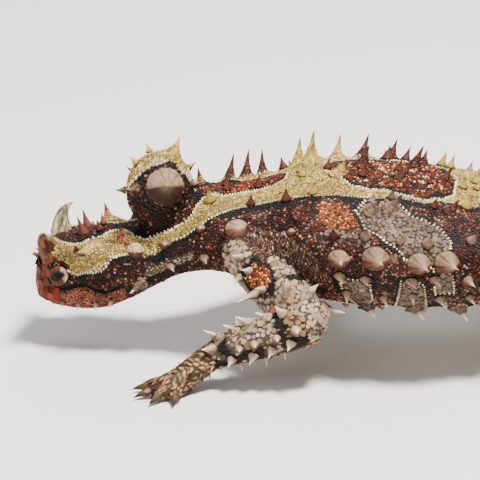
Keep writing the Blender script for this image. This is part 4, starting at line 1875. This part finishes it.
def make_eyes():
    """Dark glossy eyeballs deep between thick scaly lids."""
    iris, pupil, lid, brown = shade(40, 22, 12), shade(5, 4, 4), shade(128, 108, 86), shade(66, 30, 20)
    for side in (LEFT, RIGHT):
        centre = on_side(EYE_PLACE, side)
        look = unit(np.array((-0.22, side * 1.0, 0.10)))
        deselect()
        bpy.ops.mesh.primitive_uv_sphere_add(segments=40, ring_count=24, radius=EYE_RADIUS)
        eye = bpy.context.object
        points = coords(eye.data)
        apart = np.degrees(np.arccos(np.clip(unit(points) @ look, -1, 1)))
        bulge = 1 + 0.05 * bump(apart, 26)
        set_coords(eye.data, world(head_place(centre + points * bulge[:, None])))
        ring = np.clip((apart - 20) / 6, 0, 1)[:, None]
        paint(eye.data, pupil * (1 - ring) + iris * ring)
        eye.name = eye.data.name = "eyeball_" + SIDE_NAMES[side]
        finish_piece(eye, "Eye", ["eye_" + SIDE_NAMES[side]])

        up = unit(np.array((0.0, 0.0, 1.0)) - look * look[2])
        back = unit(np.cross(look, up) * side * -1)
        back = back * (1 if back[0] > 0 else -1)
        back, up = back * 0.94 + up * 0.34, up * 0.94 - back * 0.34

        def shape(along, turn):
            angle = 2 * np.pi * turn
            tall = np.where(np.sin(angle) > 0, 27.0, 24.0)
            edge = 1 / np.sqrt((np.cos(angle) / 50.0) ** 2 + (np.sin(angle) / tall) ** 2)
            apart = np.radians(edge + (118 - edge) * along)
            puff = 1.10 + 0.30 * np.sin(np.pi * np.clip(along * 1.5, 0, 1)) ** 0.8
            lobes = np.abs(np.cos(angle * 7.5 + (np.floor(along * 5) % 2) * np.pi / 2) * np.sin(along * 5 * np.pi))
            puff = puff - 0.04 + 0.13 * np.sqrt(lobes) * np.clip(1.6 - along * 1.4, 0, 1)
            way = look * np.cos(apart)[:, None] + swung(back, up, angle) * np.sin(apart)[:, None]
            return head_place(centre + way * (EYE_RADIUS * np.where(along < 0.02, 1.06, puff))[:, None])

        lids = rolled(26, 64, shape)
        lids.name = lids.data.name = "eyelids_" + SIDE_NAMES[side]
        points = head_local(design(coords(lids.data)))
        off = unit(points - centre)
        edge = np.degrees(np.arccos(np.clip(off @ look, -1, 1)))
        raised = np.linalg.norm(points - centre, axis=1) / EYE_RADIUS
        grain = np.clip((raised - 1.12) / 0.26, 0.12, 1.2)[:, None] * 1.3
        tones = np.tile(brown, (len(points), 1))
        tones = np.where(((edge < 66) & (off @ back > 0.5))[:, None], lid, tones) * grain
        tones = np.where((raised < 1.09)[:, None], pupil * 2, tones)
        paint(lids.data, tones)
        finish_piece(lids, "Devil skin")


# ---------------------------------------------------------------- stage


TARGET = (30.0, 0.0, 15.55)  # where the camera looks, in design millimetres
SENSOR, PICTURE_WIDTH = 36, 480
# Lights: name, place from the target, size, power and colour
LIGHTS = (
    ("key", (0.14, -0.10, 0.55), 0.12, 12.0, (1.0, 0.96, 0.90)),
    ("fill", (-0.45, -0.40, 0.18), 0.5, 2.0, (1, 1, 1)),
    ("back", (0.05, 0.55, 0.35), 0.4, 2.6, (1, 1, 1)),
)


def plain_material(name, colour, roughness):
    """A plain stage material with a trace of unevenness."""
    material = bpy.data.materials.new(name)
    material.use_nodes = True
    nodes, links = material.node_tree.nodes, material.node_tree.links
    surface = nodes["Principled BSDF"]
    where = nodes.new("ShaderNodeTexCoord")
    grain = nodes.new("ShaderNodeTexNoise")
    grain.inputs["Scale"].default_value = 400.0
    tint = nodes.new("ShaderNodeMixRGB")
    tint.inputs["Color1"].default_value = (*colour, 1)
    tint.inputs["Color2"].default_value = (*[c * 0.97 for c in colour], 1)
    links.new(where.outputs["Object"], grain.inputs["Vector"])
    links.new(grain.outputs["Fac"], tint.inputs["Fac"])
    links.new(tint.outputs["Color"], surface.inputs["Base Color"])
    surface.inputs["Roughness"].default_value = roughness
    return material


def area_light(name, place, target, size, power, colour):
    """A soft square light that faces a target."""
    deselect()
    bpy.ops.object.light_add(type="AREA", location=place)
    lamp = bpy.context.object
    lamp.name = name
    lamp.data.size = size
    lamp.data.energy = power
    lamp.data.color = colour
    lamp.rotation_mode = "QUATERNION"
    lamp.rotation_quaternion = (Vector(place) - Vector(target)).to_track_quat("Z", "Y")


def make_stage(distance, elevation, scale):
    """Pale floor, soft lights, pale surroundings, and the camera at the photograph's angle."""
    deselect()
    bpy.ops.mesh.primitive_plane_add(size=3.0, location=(0, 0, 0))
    floor = bpy.context.object
    floor.name = "floor"
    floor.data.materials.append(plain_material("Pale floor", (0.74, 0.72, 0.69), 0.8))
    target = Vector(world(TARGET))
    sky = bpy.data.worlds.new("Soft surroundings")
    sky.use_nodes = True
    sky.node_tree.nodes["Background"].inputs["Color"].default_value = (0.86, 0.90, 1.0, 1)
    sky.node_tree.nodes["Background"].inputs["Strength"].default_value = 0.38
    bpy.context.scene.world = sky
    for name, off, *settings in LIGHTS:
        area_light(name, target + Vector(off), target, *settings)
    deselect()
    bpy.ops.object.camera_add()
    camera = bpy.context.object
    camera.name = "camera"
    angle = math.radians(elevation)
    back = Vector((0, -math.cos(angle), math.sin(angle)))
    camera.location = target + back * distance
    camera.rotation_mode = "QUATERNION"
    camera.rotation_quaternion = back.to_track_quat("Z", "Y")
    camera.data.sensor_width = SENSOR
    camera.data.lens = SENSOR * scale * distance * 1000 / PICTURE_WIDTH
    camera.data.clip_start = 0.01
    bpy.context.scene.camera = camera


# ---------------------------------------------------------------- add-on

SPOTS = list(all_spots())


def tone(label, colour):
    """A colour setting whose default is given in 8-bit sRGB."""
    return bpy.props.FloatVectorProperty(
        name=label, description="Colour of the " + label.lower(), subtype="COLOR", size=3, min=0, max=1,
        default=linear(colour))


class DevilColours(bpy.types.PropertyGroup):
    """Colours of the kinds of skin."""

    red: tone("Red of the back", (96, 33, 11))
    black: tone("Black lines", (18, 10, 8))
    bead: tone("Pale beads", (226, 204, 160))
    band: tone("Cream band", (180, 152, 76))
    grey: tone("Grey patches", (94, 75, 62))
    dark: tone("Dark flanks", (56, 21, 13))
    mixed: tone("Pink-grey flanks", (114, 82, 67))
    belly: tone("Belly", (206, 190, 160))
    leg: tone("Legs", (146, 124, 104))
    orange: tone("Orange patches", (180, 98, 42))
    rust: tone("Snout", (98, 34, 14))
    jaw: tone("Lower jaw", (146, 84, 62))
    hand: tone("Paws", (126, 98, 68))
    wrinkle: tone("Shoulders", (90, 61, 48))


class DevilSizes(bpy.types.PropertyGroup):
    """Sizes that shape skin, coat and picture."""

    voxel: bpy.props.FloatProperty(
        name="Skin fineness", description="Edge of the skin's faces in millimetres", default=0.42, min=0.3, max=2.0)
    coat_depth: bpy.props.FloatProperty(
        name="Coat depth", description="How far the skin lies under the solids, in millimetres", default=0.25, min=0.0,
        max=1.0)
    distance: bpy.props.FloatProperty(
        name="Camera distance", description="Distance of the camera", default=0.35, min=0.1, max=5, unit="LENGTH")
    elevation: bpy.props.FloatProperty(
        name="Camera height", description="Angle of the camera above the floor in degrees", default=18.0, min=0, max=90)
    scale: bpy.props.FloatProperty(
        name="Picture scale", description="Pixels to a millimetre at the target, in a 480-pixel picture", default=6.9,
        min=0.5, max=50)


class DEVIL_OT_skin(bpy.types.Operator):
    """Makes the skin"""

    bl_idname = "devil.skin"
    bl_label = "Skin"

    def execute(self, context):
        """Makes materials and skin."""
        make_materials()
        sizes = context.scene.devil_sizes
        make_skin(sizes.voxel, sizes.coat_depth, SPOTS)
        return {"FINISHED"}


class DEVIL_OT_scales(bpy.types.Operator):
    """Makes the coat of scales and the bead rows"""

    bl_idname = "devil.scales"
    bl_label = "Scales"

    def execute(self, context):
        """Covers the skin."""
        make_materials()
        make_scales(bpy.data.objects["skin"], SPOTS)
        return {"FINISHED"}


class DEVIL_OT_spines(bpy.types.Operator):
    """Makes the spines"""

    bl_idname = "devil.spines"
    bl_label = "Spines"

    def execute(self, context):
        """Sets the spines on the skin."""
        make_materials()
        make_spines(SPOTS)
        return {"FINISHED"}


class DEVIL_OT_horns(bpy.types.Operator):
    """Makes the brow horns and the claws"""

    bl_idname = "devil.horns"
    bl_label = "Horns and claws"

    def execute(self, context):
        """Makes horns and claws."""
        make_materials()
        make_horns()
        make_claws()
        return {"FINISHED"}


class DEVIL_OT_eyes(bpy.types.Operator):
    """Makes eyes and eyelids"""

    bl_idname = "devil.eyes"
    bl_label = "Eyes"

    def execute(self, context):
        """Makes eyes and lids."""
        make_materials()
        make_eyes()
        return {"FINISHED"}


class DEVIL_OT_stage(bpy.types.Operator):
    """Makes floor, lights and camera"""

    bl_idname = "devil.stage"
    bl_label = "Stage"

    def execute(self, context):
        """Makes the stage."""
        sizes = context.scene.devil_sizes
        make_stage(sizes.distance, sizes.elevation, sizes.scale)
        return {"FINISHED"}


class DEVIL_PT_panel(bpy.types.Panel):
    """Sidebar panel with every piece"""

    bl_label = "Thorny devil"
    bl_idname = "DEVIL_PT_panel"
    bl_space_type = "VIEW_3D"
    bl_region_type = "UI"
    bl_category = "Thorny devil"

    def draw(self, context):
        """Lists settings and pieces."""
        layout = self.layout
        for settings in (context.scene.devil_sizes, context.scene.devil_colours):
            for name in settings.bl_rna.properties.keys():
                if name not in ("rna_type", "name"):
                    layout.prop(settings, name)
        for piece in OPERATORS:
            layout.operator(piece.bl_idname)


OPERATORS = (DEVIL_OT_skin, DEVIL_OT_scales, DEVIL_OT_spines, DEVIL_OT_horns, DEVIL_OT_eyes, DEVIL_OT_stage)
CLASSES = (DevilColours, DevilSizes, *OPERATORS, DEVIL_PT_panel)


def register():
    """Registers settings, operators and panel."""
    for item in CLASSES:
        bpy.utils.register_class(item)
    bpy.types.Scene.devil_colours = bpy.props.PointerProperty(type=DevilColours)
    bpy.types.Scene.devil_sizes = bpy.props.PointerProperty(type=DevilSizes)


def unregister():
    """Takes settings, operators and panel away."""
    del bpy.types.Scene.devil_sizes
    del bpy.types.Scene.devil_colours
    for item in reversed(CLASSES):
        bpy.utils.unregister_class(item)


def main():
    """Makes every piece in order."""
    register()
    bpy.ops.devil.skin()
    bpy.ops.devil.scales()
    bpy.ops.devil.spines()
    bpy.ops.devil.horns()
    bpy.ops.devil.eyes()
    bpy.ops.devil.stage()


if __name__ == "__main__":
    main()
